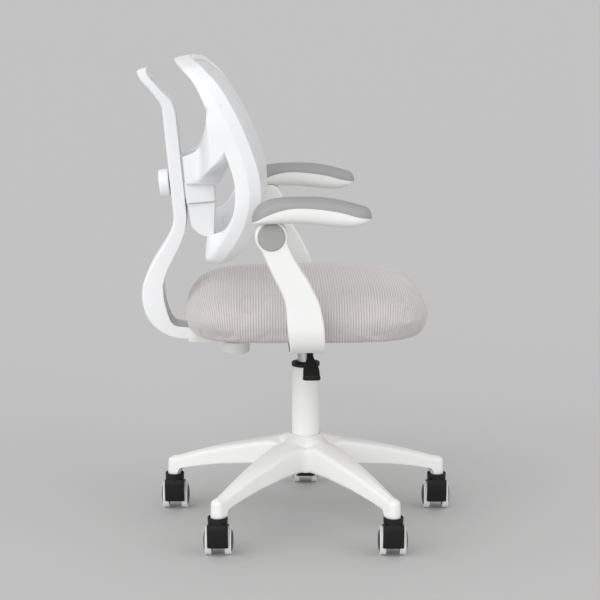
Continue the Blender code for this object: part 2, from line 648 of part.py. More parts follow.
def rail_stations():
    """Give the closed centre line of the frame with each station's front angle and depth, smoothed."""
    half = [(-211, 0, 843, 40, 22), (-210, 110, 843, 40, 22), (-199, 165, 834, 38, 25), (-171, 196, 811, 33, 33)]
    half += [(-147, 205, 764, 29, 44), (-121, 205, 708, 20, 43), (-103, 205, 645, 6, 43), (-107, 204, 590, -13, 43)]
    half += [(-124, 196, 552, -37, 42), (-147, 165, 525, -50, 38), (-163, 110, 520, -56, 36), (-170, 0, 519, -58, 36)]
    half = np.array(half, dtype=float)
    other = half[-2:0:-1] * np.array([1.0, -1.0, 1.0, 1.0, 1.0])
    ring = np.vstack([half, other])
    before = np.roll(ring, 1, axis=0)
    after = np.roll(ring, -1, axis=0)
    later = np.roll(ring, -2, axis=0)
    middle = (-before + 9.0 * ring + 9.0 * after - later) / 16.0
    smooth = np.empty((2 * len(ring), 5))
    smooth[0::2] = ring
    smooth[1::2] = middle
    return smooth[:, :3] / 1000.0, np.radians(smooth[:, 3]), smooth[:, 4] / 1000.0


def rail_frames(path, angle):
    """Give each station's outward and forward unit vectors."""
    along = np.roll(path, -1, axis=0) - np.roll(path, 1, axis=0)
    along /= np.linalg.norm(along, axis=1, keepdims=True)
    front = np.stack([np.cos(angle), np.zeros_like(angle), np.sin(angle)], axis=1)
    out = np.cross(front, along)
    out /= np.linalg.norm(out, axis=1, keepdims=True)
    return out, np.cross(along, out)


def web_rows(side):
    """Give the sections of one web from the hub out to a rail, from its upper and lower edges."""
    upper = mm([(-206, 25, 678), (-205, 55, 683), (-187, 110, 707), (-177, 160, 727), (-169, 200, 754)])
    lower = mm([(-201, 25, 630), (-200, 55, 632), (-184, 110, 644), (-163, 160, 671), (-143, 200, 703)])
    upper = np.array(upper) * np.array([1.0, side, 1.0])
    lower = np.array(lower) * np.array([1.0, side, 1.0])
    along = np.gradient((upper + lower) / 2.0, axis=0)
    rows = []
    for high, low, way in zip(upper, lower, along):
        middle = (high + low) / 2.0
        up = (high - low) / 2.0
        across = np.cross(way, up)
        across *= 0.008 / np.linalg.norm(across)
        corner = [(-1, -0.88), (-0.6, -1), (0.6, -1), (1, -0.88), (1, 0.88), (0.6, 1), (-0.6, 1), (-1, 0.88)]
        rows.append([middle + a * across + b * up for a, b in corner])
    return rows


def build_back(slide):
    """Add the frame with its hub, the carrier block, the hoop, the mesh and the threaded insert."""
    to_slide = bar_frame_matrix().inverted()
    path, angle, depth = rail_stations()
    out, front = rail_frames(path, angle)
    w = RAIL_WIDE / 2.0
    soft = 0.002
    rings = []
    for place, o, n, deep in zip(path, out, front, depth):
        d = deep / 2.0
        slope = min(0.018, 0.42 * deep)
        section = [(-d, -w + soft), (-d + soft, -w), (d - soft, -w), (d, -w + soft), (d, 0.0), (d - slope, w)]
        section += [(-d + soft, w), (-d, w - soft)]
        rings.append([place + a * n + b * o for a, b in section])
    ring_mesh = loft("back_frame", rings, looped=True)
    ring_mesh.transform(to_slide)
    frame = piece("back_frame", ring_mesh, WHITE, slide)
    hub = box("back_hub", (BAR_DEPTH + 0.0005, -HUB_HALF, -0.036), (0.070, HUB_HALF, BACK_UP + 0.002))
    join(frame, piece("back_hub", hub, None, slide))
    tongue = box("hub_tongue", (BAR_WEB + 0.0006, -TONGUE_HALF, -0.028), (0.030, TONGUE_HALF, BACK_UP - 0.002))
    join(frame, piece("hub_tongue", tongue, None, slide))
    for side in (-1, 1):
        branch = loft("back_branch", web_rows(side))
        branch.transform(to_slide)
        join(frame, piece("back_branch", branch, None, slide))
    quarter = (0.0, math.pi / 2.0, 0.0)
    start = BAR_WEB + 0.0006
    pocket = rod("insert_pocket", INSERT_RADIUS + GAP, start - 0.002, start + INSERT_LONG + 0.001)
    cut(frame, piece("insert_pocket", pocket, None, slide, turn=quarter))
    bore = KNOB_STEM + GAP
    low = start + GAP
    sleeve = [(INSERT_RADIUS, low + INSERT_LONG), (INSERT_RADIUS, low), (bore, low), (bore, low + INSERT_LONG)]
    turned("knob_insert", sleeve, BRIGHT, slide, sides=24, turn=quarter)

    foot = len(path) // 2
    back_face = path[foot] - front[foot] * (depth[foot] / 2.0 + GAP)
    outline = mm([(-209, 594.4), (-204, 576), (-198, 549)])
    outline += [tuple((back_face + side * w * out[foot])[[0, 2]]) for side in (1, -1)]
    outline += mm([(-168, 572), (-168, 598.2)])
    block = plate("lower_carrier", outline, -CARRIER_HALF, CARRIER_HALF, "Y")
    block.transform(to_slide)
    piece("lower_carrier", block, WHITE, slide)

    size = HOOP_SIZE / 2.0
    inset = w + 2.5 * GAP + size
    reach = depth / 2.0 - 0.0026 - size
    middle = path + front * reach[:, None] - out * inset
    square = [(-1, -1), (1, -1), (1, 1), (-1, 1)]
    hoop = [[c + a * size * n + b * size * o for a, b in square] for c, n, o in zip(middle, front, out)]
    hoop_mesh = loft("mesh_hoop", hoop, looped=True)
    hoop_mesh.transform(to_slide)
    piece("mesh_hoop", hoop_mesh, WHITE, slide)

    rim = path + front * (depth / 2.0 - 0.002 + GAP + MESH_THICK / 2.0)[:, None] - out * (w + 0.0005)
    build_mesh(slide, rim, to_slide)


def build_mesh(slide, rim, to_slide):
    """Add the stretched mesh: rings drawn in from the rim on the side profile, with a slight bulge."""
    count = len(rim)
    half = rim[: count // 2 + 1]
    order = np.argsort(half[:, 2])
    middle = (half[0, 2] + half[-1, 2]) / 2.0
    points = [rim]
    for share in (0.86, 0.68, 0.48, 0.26):
        z = middle + (rim[:, 2] - middle) * share
        x = np.interp(z, half[order, 2], half[order, 0]) + MESH_BULGE * (1.0 - share * share)
        points.append(np.stack([x, rim[:, 1] * share, z], axis=1))
    centre = [np.interp(middle, half[order, 2], half[order, 0]) + MESH_BULGE, 0.0, middle]
    verts = np.vstack(points + [[centre]])
    faces = []
    for row in range(len(points) - 1):
        for i in range(count):
            j = (i + 1) % count
            faces.append((row * count + i, row * count + j, (row + 1) * count + j, (row + 1) * count + i))
    last = (len(points) - 1) * count
    faces += [(last + i, last + (i + 1) % count, len(verts) - 1) for i in range(count)]
    mesh = bpy.data.meshes.new("back_mesh")
    mesh.from_pydata(verts.tolist(), [], faces)
    mesh.transform(to_slide)
    cloth = piece("back_mesh", mesh, NET, slide)
    thick = cloth.modifiers.new("thick", "SOLIDIFY")
    thick.thickness = MESH_THICK
    thick.offset = 0.0


def build_height_knob(slide):
    """Add the knob behind the bar; its stem passes the slot into the insert."""
    tip = BAR_WEB + 0.0006 + INSERT_LONG
    line = [(0.0, tip), (KNOB_STEM, tip), (KNOB_STEM, -0.0055), (0.020, -0.0055), (KNOB_RADIUS, -0.009)]
    line += [(KNOB_RADIUS, -0.0195), (0.021, -0.0235), (0.0, -0.0235)]
    turned("height_knob", line, WHITE, slide, closed=False, sides=32, turn=(0.0, math.pi / 2.0, 0.0))


def build_arm_bracket(seat, name, side):
    """Add one bracket with its bolt, pivot pin and cap."""
    edge = mm([(-33, 364), (-36, 385), (-39, 419), (-39, 440), (-42, 458), (-48, 475), (-57, 493), (-70, 520)])
    edge += mm([(-81, 545)]) + arc((ARM_X, ARM_Z), ARM_HEAD, 200, -14, 13)
    edge += mm([(-33, 545), (-27, 533), (-17, 515), (-4, 495), (6, 475), (15, 456), (20, 436), (23, 416), (25, 385)])
    edge += mm([(25, 364)])
    beyond = ARM_OUTER + 0.014
    low, high = sorted((side * (FOOT_END - 0.005), side * beyond))
    strut = piece(f"arm_bracket_{name}", plate(f"arm_bracket_{name}", edge, low, high, "Y"), WHITE, seat)
    top = BOARD_BOTTOM - GAP
    bend = [(FOOT_END, 0.359), (ARM_OUTER - 0.051, 0.359), (ARM_OUTER - 0.026, 0.368), (ARM_OUTER - 0.009, 0.385)]
    bend += [(ARM_OUTER, 0.408), (ARM_OUTER, 0.61), (ARM_INNER, 0.61), (ARM_INNER, 0.414)]
    bend += [(ARM_INNER - 0.006, 0.394), (ARM_INNER - 0.018, 0.381), (ARM_INNER - 0.034, top), (FOOT_END, top)]
    bend = [(side * y, z) for y, z in bend]
    keep_common(strut, piece(f"bracket_bend_{name}", plate("bracket_bend", bend, -0.11, 0.05, "X"), None, seat))
    low, high = sorted((side * (TONGUE_IN - GAP), side * (TONGUE_OUT + GAP)))
    gate = box("arm_slot", (ARM_X - 0.05, low, ARM_Z - TONGUE_RADIUS - 0.0005), (ARM_X + 0.05, high, 0.62))
    cut(strut, piece(f"arm_slot_{name}", gate, None, seat))
    hub = (ARM_X, 0.0, ARM_Z)
    low, high = sorted((side * (ARM_INNER - 0.004), side * beyond))
    cut(strut, piece(f"arm_drill_{name}", rod("arm_drill", PIVOT_RADIUS + GAP, low, high, 16, "Y"), None, seat, hub))
    low, high = sorted((side * (ARM_OUTER - CAP_SUNK), side * beyond))
    cut(strut, piece(f"cap_seat_{name}", rod("cap_seat", CAP_RADIUS + GAP, low, high, 32, "Y"), None, seat, hub))
    bolt_at = (BOLT_X, side * BOLT_Y, 0.0)
    drill = rod("foot_drill", BOLT_RADIUS + GAP, 0.35, 0.40, 16)
    cut(strut, piece(f"foot_drill_{name}", drill, None, seat, bolt_at))
    low, high = sorted((side * (ARM_INNER + 0.001), side * (ARM_OUTER - CAP_SUNK - GAP)))
    piece(f"pivot_pin_{name}", rod("pivot_pin", PIVOT_RADIUS, low, high, 16, "Y"), BRIGHT, seat, hub)
    low, high = sorted((side * (ARM_OUTER - CAP_SUNK + GAP), side * CAP_FACE))
    piece(f"pivot_cap_{name}", rod("pivot_cap", CAP_RADIUS, low, high, 32, "Y"), GREY, seat, hub)
    head = 0.364 - GAP
    line = [(0.0, 0.385), (BOLT_RADIUS, 0.385), (BOLT_RADIUS, head), (0.006, head), (0.006, head - 0.004)]
    line += [(0.0, head - 0.004)]
    turned(f"bracket_bolt_{name}", line, BRIGHT, seat, closed=False, sides=16, place=bolt_at)


def build_armrest(seat, name, side):
    """Add one armrest, its shell with the tongue and its pad, on the pivot."""
    hinge = pivot(f"armrest_axis_{name}", (ARM_X, 0.0, ARM_Z), seat)
    to_hinge = Matrix.Translation((-ARM_X, 0.0, -ARM_Z))
    seam = mm([(-94, 598), (-86, 602), (-75, 607), (-50, 615), (-34, 618), (-18, 619), (14, 617), (47, 612)])
    seam += mm([(79, 603), (97, 600)])
    below = mm([(98, 598), (90, 593), (80, 589), (64, 587), (31, 588), (-1, 592), (-37, 593), (-96, 594)])
    low, high = sorted((side * (REST_INNER - 0.01), side * (REST_OUTER + 0.01)))
    shell_mesh = plate(f"armrest_shell_{name}", seam + below, low, high, "Y")
    shell_mesh.transform(to_hinge)
    shell = piece(f"armrest_shell_{name}", shell_mesh, WHITE, hinge)
    middle = REST_MIDDLE
    half = REST_WIDE / 2.0
    round_end = min(REST_CORNER, 0.9 * half)
    plan = rounded(0.098, half, round_end, (0.001, side * middle), 8)
    plan_mesh = plate("rest_plan", plan, 0.56, 0.65, "Z")
    plan_mesh.transform(to_hinge)
    keep_common(shell, piece(f"rest_plan_{name}", plan_mesh, None, hinge))
    low, high = sorted((side * (ARM_INNER - 0.0015), side * (CAP_FACE + 0.002)))
    hollow = rod("rest_hollow", ARM_HEAD + 0.0006, low, high, 40, "Y")
    cut(shell, piece(f"rest_hollow_{name}", hollow, None, hinge))
    tongue = arc((0.0, 0.0), TONGUE_RADIUS, 141, 399, 17) + [(0.0155, 0.0336), (-0.0155, 0.0336)]
    low, high = sorted((side * TONGUE_IN, side * TONGUE_OUT))
    join(shell, piece(f"rest_tongue_{name}", plate("rest_tongue", tongue, low, high, "Y"), None, hinge))
    drill = rod("rest_drill", PIVOT_RADIUS + GAP, side * middle - 0.05, side * middle + 0.05, 16, "Y")
    cut(shell, piece(f"rest_drill_{name}", drill, None, hinge))

    tops = [606, 619.5, 626.6, 632, 632.5, 633, 632.7, 628, 619.6, 610]
    rows = []
    for (x, z), top in zip(seam, tops):
        end = 0.098 - abs(x - 0.001)
        wide = half if end > round_end else half - round_end + math.sqrt(round_end**2 - (round_end - end) ** 2)
        low = z + GAP
        high = top / 1000.0
        lip = low + 0.55 * (high - low)
        brow = low + 0.88 * (high - low)
        section = [(-1, low), (1, low), (1, lip), (0.88, brow), (0.55, high), (-0.55, high), (-0.88, brow), (-1, lip)]
        rows.append([(x, side * middle + part * wide, level) for part, level in section])
    pad = loft(f"armrest_pad_{name}", rows)
    pad.transform(to_hinge)
    piece(f"armrest_pad_{name}", pad, GREY, hinge)


def build_chair():
    """Put the chair together, each moving group on an empty of its own."""
    column = pivot("column_axis", (COLUMN_X, 0.0, 0.0))
    base = pivot("base_axis", (0.0, 0.0, 0.0), column, (0.0, 0.0, BASE_TURN))
    bearing_top = build_base(base)
    build_casters(base)
    seat = pivot("seat_axis", (0.0, 0.0, 0.0), column)
    build_lift(column, seat, bearing_top)
    build_seat(seat)
    build_lever(seat)
    build_depth_knob(seat)
    bar = pivot("bar_axis", (0.0, 0.0, 0.0), seat)
    build_bar(bar)
    back = pivot("back_axis", (HEIGHT_KNOB_X, 0.0, HEIGHT_KNOB_Z), bar, (0.0, BAR_LEAN, 0.0))
    build_back(back)
    build_height_knob(back)
    for name, side in (("right", -1), ("left", 1)):
        build_arm_bracket(seat, name, side)
        build_armrest(seat, name, side)
    bpy.context.view_layer.update()


build_chair()
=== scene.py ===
"""Dressed model of a child's desk chair.

Star base on casters, gas lift, padded seat, sliding back and flip-up arms. Metres, X forward, Z up. Outlines
written in millimetres are measured from the column axis.
"""

import json
import logging
import math
from dataclasses import dataclass, field
from enum import Enum
from typing import Callable

import bmesh
import bpy
import numpy as np
from mathutils import Matrix

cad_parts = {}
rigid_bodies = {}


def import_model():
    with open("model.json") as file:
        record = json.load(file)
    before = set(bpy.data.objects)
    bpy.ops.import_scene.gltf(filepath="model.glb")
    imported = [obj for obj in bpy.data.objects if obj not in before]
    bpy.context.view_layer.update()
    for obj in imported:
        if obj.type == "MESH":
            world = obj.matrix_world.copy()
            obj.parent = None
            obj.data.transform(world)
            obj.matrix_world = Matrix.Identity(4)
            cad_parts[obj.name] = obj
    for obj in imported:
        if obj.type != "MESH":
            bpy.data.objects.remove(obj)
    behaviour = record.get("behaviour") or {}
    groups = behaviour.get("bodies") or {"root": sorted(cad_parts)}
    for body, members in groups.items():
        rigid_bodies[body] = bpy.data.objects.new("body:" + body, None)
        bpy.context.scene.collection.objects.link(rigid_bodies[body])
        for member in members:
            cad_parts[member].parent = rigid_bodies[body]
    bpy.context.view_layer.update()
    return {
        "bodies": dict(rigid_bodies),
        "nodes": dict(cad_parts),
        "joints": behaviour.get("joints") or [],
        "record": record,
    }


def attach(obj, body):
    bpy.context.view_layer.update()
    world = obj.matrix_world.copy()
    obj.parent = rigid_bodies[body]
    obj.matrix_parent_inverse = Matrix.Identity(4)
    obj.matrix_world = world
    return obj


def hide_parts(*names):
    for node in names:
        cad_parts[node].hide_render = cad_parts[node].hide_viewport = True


Item = bpy.types.Object
Node = bpy.types.Node
Socket = bpy.types.NodeSocket
Tree = bpy.types.NodeTree

LOG = logging.getLogger("desk_chair")
COLUMN_X = 0.011
COLUMN = Matrix.Translation((COLUMN_X, 0.0, 0.0))
BASE = COLUMN @ Matrix.Rotation(math.radians(-1.68), 4, "Z")
Z_TO_X = Matrix.Rotation(math.pi / 2.0, 4, "Y")
X_AXIS = np.array([1.0, 0.0, 0.0])
Y_AXIS = np.array([0.0, 1.0, 0.0])
ARMS = 5
CASTER_CIRCLE = 0.2574


def mm(rows: list) -> np.ndarray:
    """Give rows written in millimetres as metres."""
    return np.asarray(rows, dtype=float) / 1000.0


def unit(rows: np.ndarray) -> np.ndarray:
    """Give each row at length one."""
    return rows / np.linalg.norm(rows, axis=-1, keepdims=True)


def arc(rows: np.ndarray) -> np.ndarray:
    """Give each point's distance along a line of points."""
    return np.concatenate([[0.0], np.cumsum(np.linalg.norm(np.diff(rows, axis=0), axis=1))])


def boxy(turn: np.ndarray, power: float = 0.5) -> tuple:
    """Give cosine and sine of each angle, raised to a power with their signs kept, as of a boxy round."""
    c, s = np.cos(turn), np.sin(turn)
    return np.sign(c) * np.abs(c) ** power, np.sign(s) * np.abs(s) ** power


def bend(start: np.ndarray, knee: np.ndarray, end: np.ndarray, t: np.ndarray) -> np.ndarray:
    """Draw the quadratic curve (1-t)^2 a + 2t(1-t) p + t^2 b."""
    return (1 - t) ** 2 * start + 2 * t * (1 - t) * knee + t**2 * end


def spline(points: np.ndarray, count: int, looped: bool = False) -> np.ndarray:
    """Draw a smooth curve through points.

    Cubic Hermite curve over chord length, p = h0 p0 + h1 m0 + h2 p1 + h3 m1, where each tangent m is the
    central difference of its neighbours. Columns past the third ride along on the same curve.

    Args:
        points: Rows of knots, the first three columns their place.
        count: Number of points wanted, evenly spread over the chord length.
        looped: Whether the curve closes on itself.
    Returns:
        The curve's points, one row each.
    """
    rows = np.asarray(points, dtype=float)
    size = len(rows)
    if looped:
        rows = np.vstack([rows[-3:], rows, rows[:4]])
    knot = arc(rows[:, :3])
    slope = np.gradient(rows, knot, axis=0)
    first, last = (knot[3], knot[3 + size]) if looped else (knot[0], knot[-1])
    place = np.linspace(first, last, count, endpoint=not looped)
    i = np.clip(np.searchsorted(knot, place, side="right") - 1, 0, len(knot) - 2)
    h = (knot[i + 1] - knot[i])[:, None]
    s = (place - knot[i])[:, None] / h
    start = (2 * s**3 - 3 * s**2 + 1) * rows[i] + (s**3 - 2 * s**2 + s) * h * slope[i]
    return start + (3 * s**2 - 2 * s**3) * rows[i + 1] + (s**3 - s**2) * h * slope[i + 1]


def flat_spline(rows: np.ndarray, count: int) -> np.ndarray:
    """Draw a smooth curve through points of a plane."""
    return spline(np.column_stack([rows, np.zeros(len(rows))]), count)[:, :2]


def soften(points: np.ndarray, radius: float | np.ndarray, steps: int = 4, closed: bool = True) -> np.ndarray:
    """Round the corners of an outline, or of a row of outlines at once.

    Each corner becomes a quadratic curve between points at most the radius away from it on its two sides.

    Args:
        points: Corners by coordinates, with any axes before them.
        radius: Reach of the rounding, one for all corners or one each.
        steps: Pieces that each rounding is drawn in.
        closed: Whether the outline closes on itself; an open one keeps its two ends.
    Returns:
        The rounded outline or outlines.
    """
    corner = np.asarray(points, dtype=float)
    reach = np.broadcast_to(np.asarray(radius, dtype=float), corner.shape[:-1])
    back = np.roll(corner, 1, axis=-2) - corner
    ahead = np.roll(corner, -1, axis=-2) - corner
    back_long = np.maximum(np.linalg.norm(back, axis=-1), 1e-9)
    ahead_long = np.maximum(np.linalg.norm(ahead, axis=-1), 1e-9)
    cut = np.minimum(reach, 0.48 * np.minimum(back_long, ahead_long))
    a = corner + back * (cut / back_long)[..., None]
    b = corner + ahead * (cut / ahead_long)[..., None]
    t = np.linspace(0.0, 1.0, steps + 1)[:, None]
    curve = bend(a[..., None, :], corner[..., None, :], b[..., None, :], t)
    if closed:
        return curve.reshape(*corner.shape[:-2], -1, corner.shape[-1])
    inner = curve[1:-1].reshape(-1, corner.shape[-1])
    return np.vstack([corner[:1], inner, corner[-1:]])


@dataclass
class Patch:
    """Points and faces of a surface, before it becomes a mesh."""

    verts: np.ndarray
    quads: np.ndarray
    caps: list = field(default_factory=list)

    def moved(self, matrix: Matrix) -> "Patch":
        """Give a copy carried by a matrix."""
        turn = np.array(matrix)
        return Patch(self.verts @ turn[:3, :3].T + turn[:3, 3], self.quads.copy(), list(self.caps))

    def scaled(self, size: tuple) -> "Patch":
        """Give a copy with each axis multiplied, as for the other side's piece."""
        return Patch(self.verts * np.asarray(size), self.quads.copy(), list(self.caps))

    def __add__(self, other: "Patch") -> "Patch":
        """Put two patches into one."""
        shift = len(self.verts)
        caps = self.caps + [cap + shift for cap in other.caps]
        quads = np.vstack([self.quads, other.quads + shift])
        return Patch(np.vstack([self.verts, other.verts]), quads, caps)


def skin(grid: np.ndarray, wrap_rows: bool = False, wrap_cols: bool = True, capped: bool = True) -> Patch:
    """Join a grid of points into faces.

    Point (i, j) joins (i, j+1), (i+1, j+1) and (i+1, j), the last row or column the first where it wraps.

    Args:
        grid: Points as rows by columns by three.
        wrap_rows: Whether the rows form a loop.
        wrap_cols: Whether the columns form a loop.
        capped: Whether the first and last rows are closed by a face each.
    Returns:
        The surface.
    """
    rows, cols = grid.shape[:2]
    index = np.arange(rows * cols).reshape(rows, cols)
    ends = [index[0].copy(), index[-1].copy()] if capped and not wrap_rows else []
    if wrap_cols:
        index = np.hstack([index, index[:, :1]])
    if wrap_rows:
        index = np.vstack([index, index[:1]])
    quads = np.stack([index[:-1, :-1], index[:-1, 1:], index[1:, 1:], index[1:, :-1]], axis=-1)
    return Patch(grid.reshape(-1, 3), quads.reshape(-1, 4), ends)


def lathe(profile: np.ndarray, sides: int = 64, closed: bool = False) -> Patch:
    """Turn a profile about Z: each (r, z) becomes (r cos a, r sin a, z).

    Args:
        profile: Rows of radius and height.
        sides: Steps round the axis.
        closed: Whether the profile is a loop, as of a ring.
    Returns:
        The turned surface.
    """
    line = np.asarray(profile, dtype=float)
    turn = np.arange(sides) * (2.0 * math.pi / sides)
    radius, level = line[:, :1], np.repeat(line[:, 1:2], sides, axis=1)
    grid = np.stack([radius * np.cos(turn), radius * np.sin(turn), level], axis=-1)
    return skin(grid, wrap_rows=closed, capped=False)


def slab(outline: np.ndarray, low: float, high: float, edge: float = 0.0006) -> Patch:
    """Extrude an XZ outline along Y with softened rims.

    The four rows are the outline drawn in by the edge at each end and full just inside it; drawing in moves
    every point towards the outline's mean.

    Args:
        outline: Rows of X and Z.
        low: Lower end on Y.
        high: Higher end on Y.
        edge: Size of the rim's softening.
    Returns:
        The closed slab.
    """
    line = np.asarray(outline, dtype=float)
    middle = line.mean(axis=0)
    away = line - middle
    drawn = middle + away * (1.0 - edge / np.linalg.norm(away, axis=1, keepdims=True))
    levels = [(drawn, low), (line, low + edge), (line, high - edge), (drawn, high)]
    rows = [np.stack([flat[:, 0], np.full(len(flat), y), flat[:, 1]], axis=1) for flat, y in levels]
    return skin(np.stack(rows))


def shade(mesh: bpy.types.Mesh, sharp: float) -> None:
    """Shade a mesh smooth, with the edges past an angle in degrees drawn crisp."""
    mesh.shade_smooth()
    mesh.set_sharp_from_angle(angle=math.radians(sharp))


def linked(name: str, mesh: bpy.types.Mesh, sharp: float = 35.0) -> Item:
    """Link mesh data to the scene as a shaded object."""
    shade(mesh, sharp)
    item = bpy.data.objects.new(name, mesh)
    bpy.context.scene.collection.objects.link(item)
    return item


def make_object(name: str, patch: Patch, sharp: float = 35.0) -> Item:
    """Turn a patch into an object at the origin, with doubles merged and faces outward.

    Args:
        name: The piece's name.
        patch: Its surface.
        sharp: Angle in degrees past which an edge is drawn crisp.
    Returns:
        The object, linked to the scene.
    """
    mesh = bpy.data.meshes.new(name)
    mesh.from_pydata(patch.verts.tolist(), [], patch.quads.tolist() + [cap.tolist() for cap in patch.caps])
    shape = bmesh.new()
    shape.from_mesh(mesh)
    bmesh.ops.remove_doubles(shape, verts=shape.verts[:], dist=2e-6)
    bmesh.ops.dissolve_degenerate(shape, edges=shape.edges[:], dist=1e-7)
    bmesh.ops.recalc_face_normals(shape, faces=shape.faces[:])
    shape.to_mesh(mesh)
    shape.free()
    return linked(name, mesh, sharp)


def merged_copy(name: str, node: Item) -> Item:
    """Copy a solid of the frame as one merged mesh with whole flat faces."""
    shape = bmesh.new()
    shape.from_mesh(node.data)
    bmesh.ops.remove_doubles(shape, verts=shape.verts[:], dist=1e-6)
    flat = math.radians(0.5)
    bmesh.ops.dissolve_limit(shape, angle_limit=flat, verts=shape.verts[:], edges=shape.edges[:])
    bmesh.ops.recalc_face_normals(shape, faces=shape.faces[:])
    mesh = bpy.data.meshes.new(name)
    shape.to_mesh(mesh)
    shape.free()
    return linked(name, mesh)


def get_points(item: Item) -> np.ndarray:
    """Read an object's points, one row each."""
    place = np.zeros(len(item.data.vertices) * 3)
    item.data.vertices.foreach_get("co", place)
    return place.reshape(-1, 3)


def put_points(item: Item, place: np.ndarray) -> None:
    """Write an object's points back."""
    item.data.vertices.foreach_set("co", place.ravel())
    item.data.update()


def face_up(item: Item) -> None:
    """Turn an open surface's faces so that most look up."""
    normals = np.zeros(len(item.data.polygons) * 3)
    item.data.polygons.foreach_get("normal", normals)
    if normals[2::3].sum() < 0.0:
        item.data.flip_normals()


def settle(item: Item) -> None:
    """Work an object's modifiers into its mesh."""
    bpy.context.view_layer.update()
    mesh = bpy.data.meshes.new_from_object(item.evaluated_get(bpy.context.evaluated_depsgraph_get()))
    item.modifiers.clear()
    item.data = mesh


def carve(item: Item, tool: Patch, sharp: float) -> None:
    """Cut a closed patch out of a piece, its edges past an angle in degrees drawn crisp afterwards."""
    cutter = make_object(f"{item.name}_cutter", tool)
    step = item.modifiers.new("cut", "BOOLEAN")
    step.operation = "DIFFERENCE"
    step.solver = "EXACT"
    step.object = cutter
    settle(item)
    bpy.data.objects.remove(cutter, do_unlink=True)
    shade(item.data, sharp)


def fuse(item: Item, patch: Patch, sharp: float) -> None:
    """Add a closed patch to a piece as a shell of its own, shaded as the piece is."""
    extra = make_object(f"{item.name}_extra", patch, sharp)
    shape = bmesh.new()
    shape.from_mesh(item.data)
    shape.from_mesh(extra.data)
    shape.to_mesh(item.data)
    shape.free()
    bpy.data.objects.remove(extra, do_unlink=True)
    shade(item.data, sharp)


def bevel(item: Item, width: float) -> Item:
    """Soften the crisp edges of a piece with a live bevel."""
    step = item.modifiers.new("soft_edge", "BEVEL")
    step.width = width
    step.segments = 2
    step.limit_method = "ANGLE"
    step.angle_limit = math.radians(30)
    step.harden_normals = False
    return item


def spoke(number: int) -> float:
    """Give the angle of one of the base's arms."""
    return math.radians(18.0 + 72.0 * number)


def caster_place(number: int) -> Matrix:
    """Give the place of a caster's stem at an arm's tip."""
    angle = spoke(number)
    return Matrix.Translation((CASTER_CIRCLE * math.cos(angle), CASTER_CIRCLE * math.sin(angle), 0.0))


class Look(Enum):
    """Finishes that the pieces take."""

    FRAME_WHITE = "frame_white"
    BASE_WHITE = "base_white"
    ARM_WHITE = "arm_white"
    ENAMEL = "enamel"
    WHEEL = "wheel"
    DARK = "dark"
    CAP_DARK = "cap_dark"
    PAD = "pad"
    CAP_GREY = "cap_grey"
    STEEL = "steel"
    CYLINDER = "cylinder"
    COATED = "coated"
    PLY = "ply"
    CLOTH = "cloth"
    NET = "net"


class Texture(Enum):
    """Kinds of surface pattern."""

    MOULDED = "moulded_grain"
    METAL = "drawn_metal"
    PLYWOOD = "plywood_layers"
    RIBBED = "ribbed_knit"
    NETTED = "open_knit"


@dataclass(frozen=True)
class Finish:
    """One finish: colour in linear light, gloss, and the size and strength of its pattern."""

    look: Look
    slot: str
    colour: tuple
    roughness: float
    texture: Texture = Texture.MOULDED
    spread: float = 0.06
    grain: float = 900.0
    mottle: float = 0.03
    bump: float = 0.05
    depth: float = 0.0002
    metallic: float = 0.0
    specular: float = 0.5
    sheen: float = 0.0


DARK_GRAIN = {"grain": 1400.0, "bump": 0.12, "mottle": 0.12, "specular": 0.28}
PAD_GRAIN = {"grain": 1500.0, "bump": 0.16, "mottle": 0.05}
COAT_GRAIN = {"grain": 700.0, "bump": 0.14, "mottle": 0.08}
PLY_GRAIN = {"texture": Texture.PLYWOOD, "spread": 0.12, "mottle": 0.25, "bump": 0.2}
METAL = {"texture": Texture.METAL, "metallic": 1.0}
KNIT = {"texture": Texture.RIBBED, "bump": 0.45, "depth": 0.0007, "sheen": 0.45}
OPEN_KNIT = {"texture": Texture.NETTED, "bump": 0.4, "depth": 0.0004, "sheen": 0.15}
FINISHES = {
    finish.look: finish
    for finish in (
        Finish(Look.FRAME_WHITE, "white_plastic", (0.86, 0.865, 0.875), 0.42),
        Finish(Look.BASE_WHITE, "white_plastic", (0.82, 0.825, 0.815), 0.40),
        Finish(Look.ARM_WHITE, "white_plastic", (0.84, 0.845, 0.835), 0.38),
        Finish(Look.ENAMEL, "white_enamel", (0.80, 0.80, 0.79), 0.34, grain=500.0),
        Finish(Look.WHEEL, "wheel_plastic", (0.80, 0.80, 0.80), 0.40),
        Finish(Look.DARK, "dark_plastic", (0.008, 0.008, 0.0085), 0.5, **DARK_GRAIN),
        Finish(Look.CAP_DARK, "dark_plastic", (0.03, 0.03, 0.031), 0.42, grain=1400.0, mottle=0.10),
        Finish(Look.PAD, "grey_pad", (0.34, 0.335, 0.34), 0.55, **PAD_GRAIN),
        Finish(Look.CAP_GREY, "grey_pad", (0.345, 0.345, 0.34), 0.5, grain=1300.0, bump=0.08),
        Finish(Look.STEEL, "bright_steel", (0.62, 0.62, 0.63), 0.30, **METAL),
        Finish(Look.CYLINDER, "bright_steel", (0.50, 0.51, 0.52), 0.36, **METAL),
        Finish(Look.COATED, "coated_steel", (0.045, 0.045, 0.047), 0.5, **COAT_GRAIN),
        Finish(Look.PLY, "plywood", (0.56, 0.40, 0.23), 0.62, **PLY_GRAIN),
        Finish(Look.CLOTH, "seat_cloth", (0.54, 0.51, 0.495), 0.88, **KNIT),
        Finish(Look.NET, "back_net", (0.80, 0.80, 0.81), 0.7, **OPEN_KNIT),
    )
}


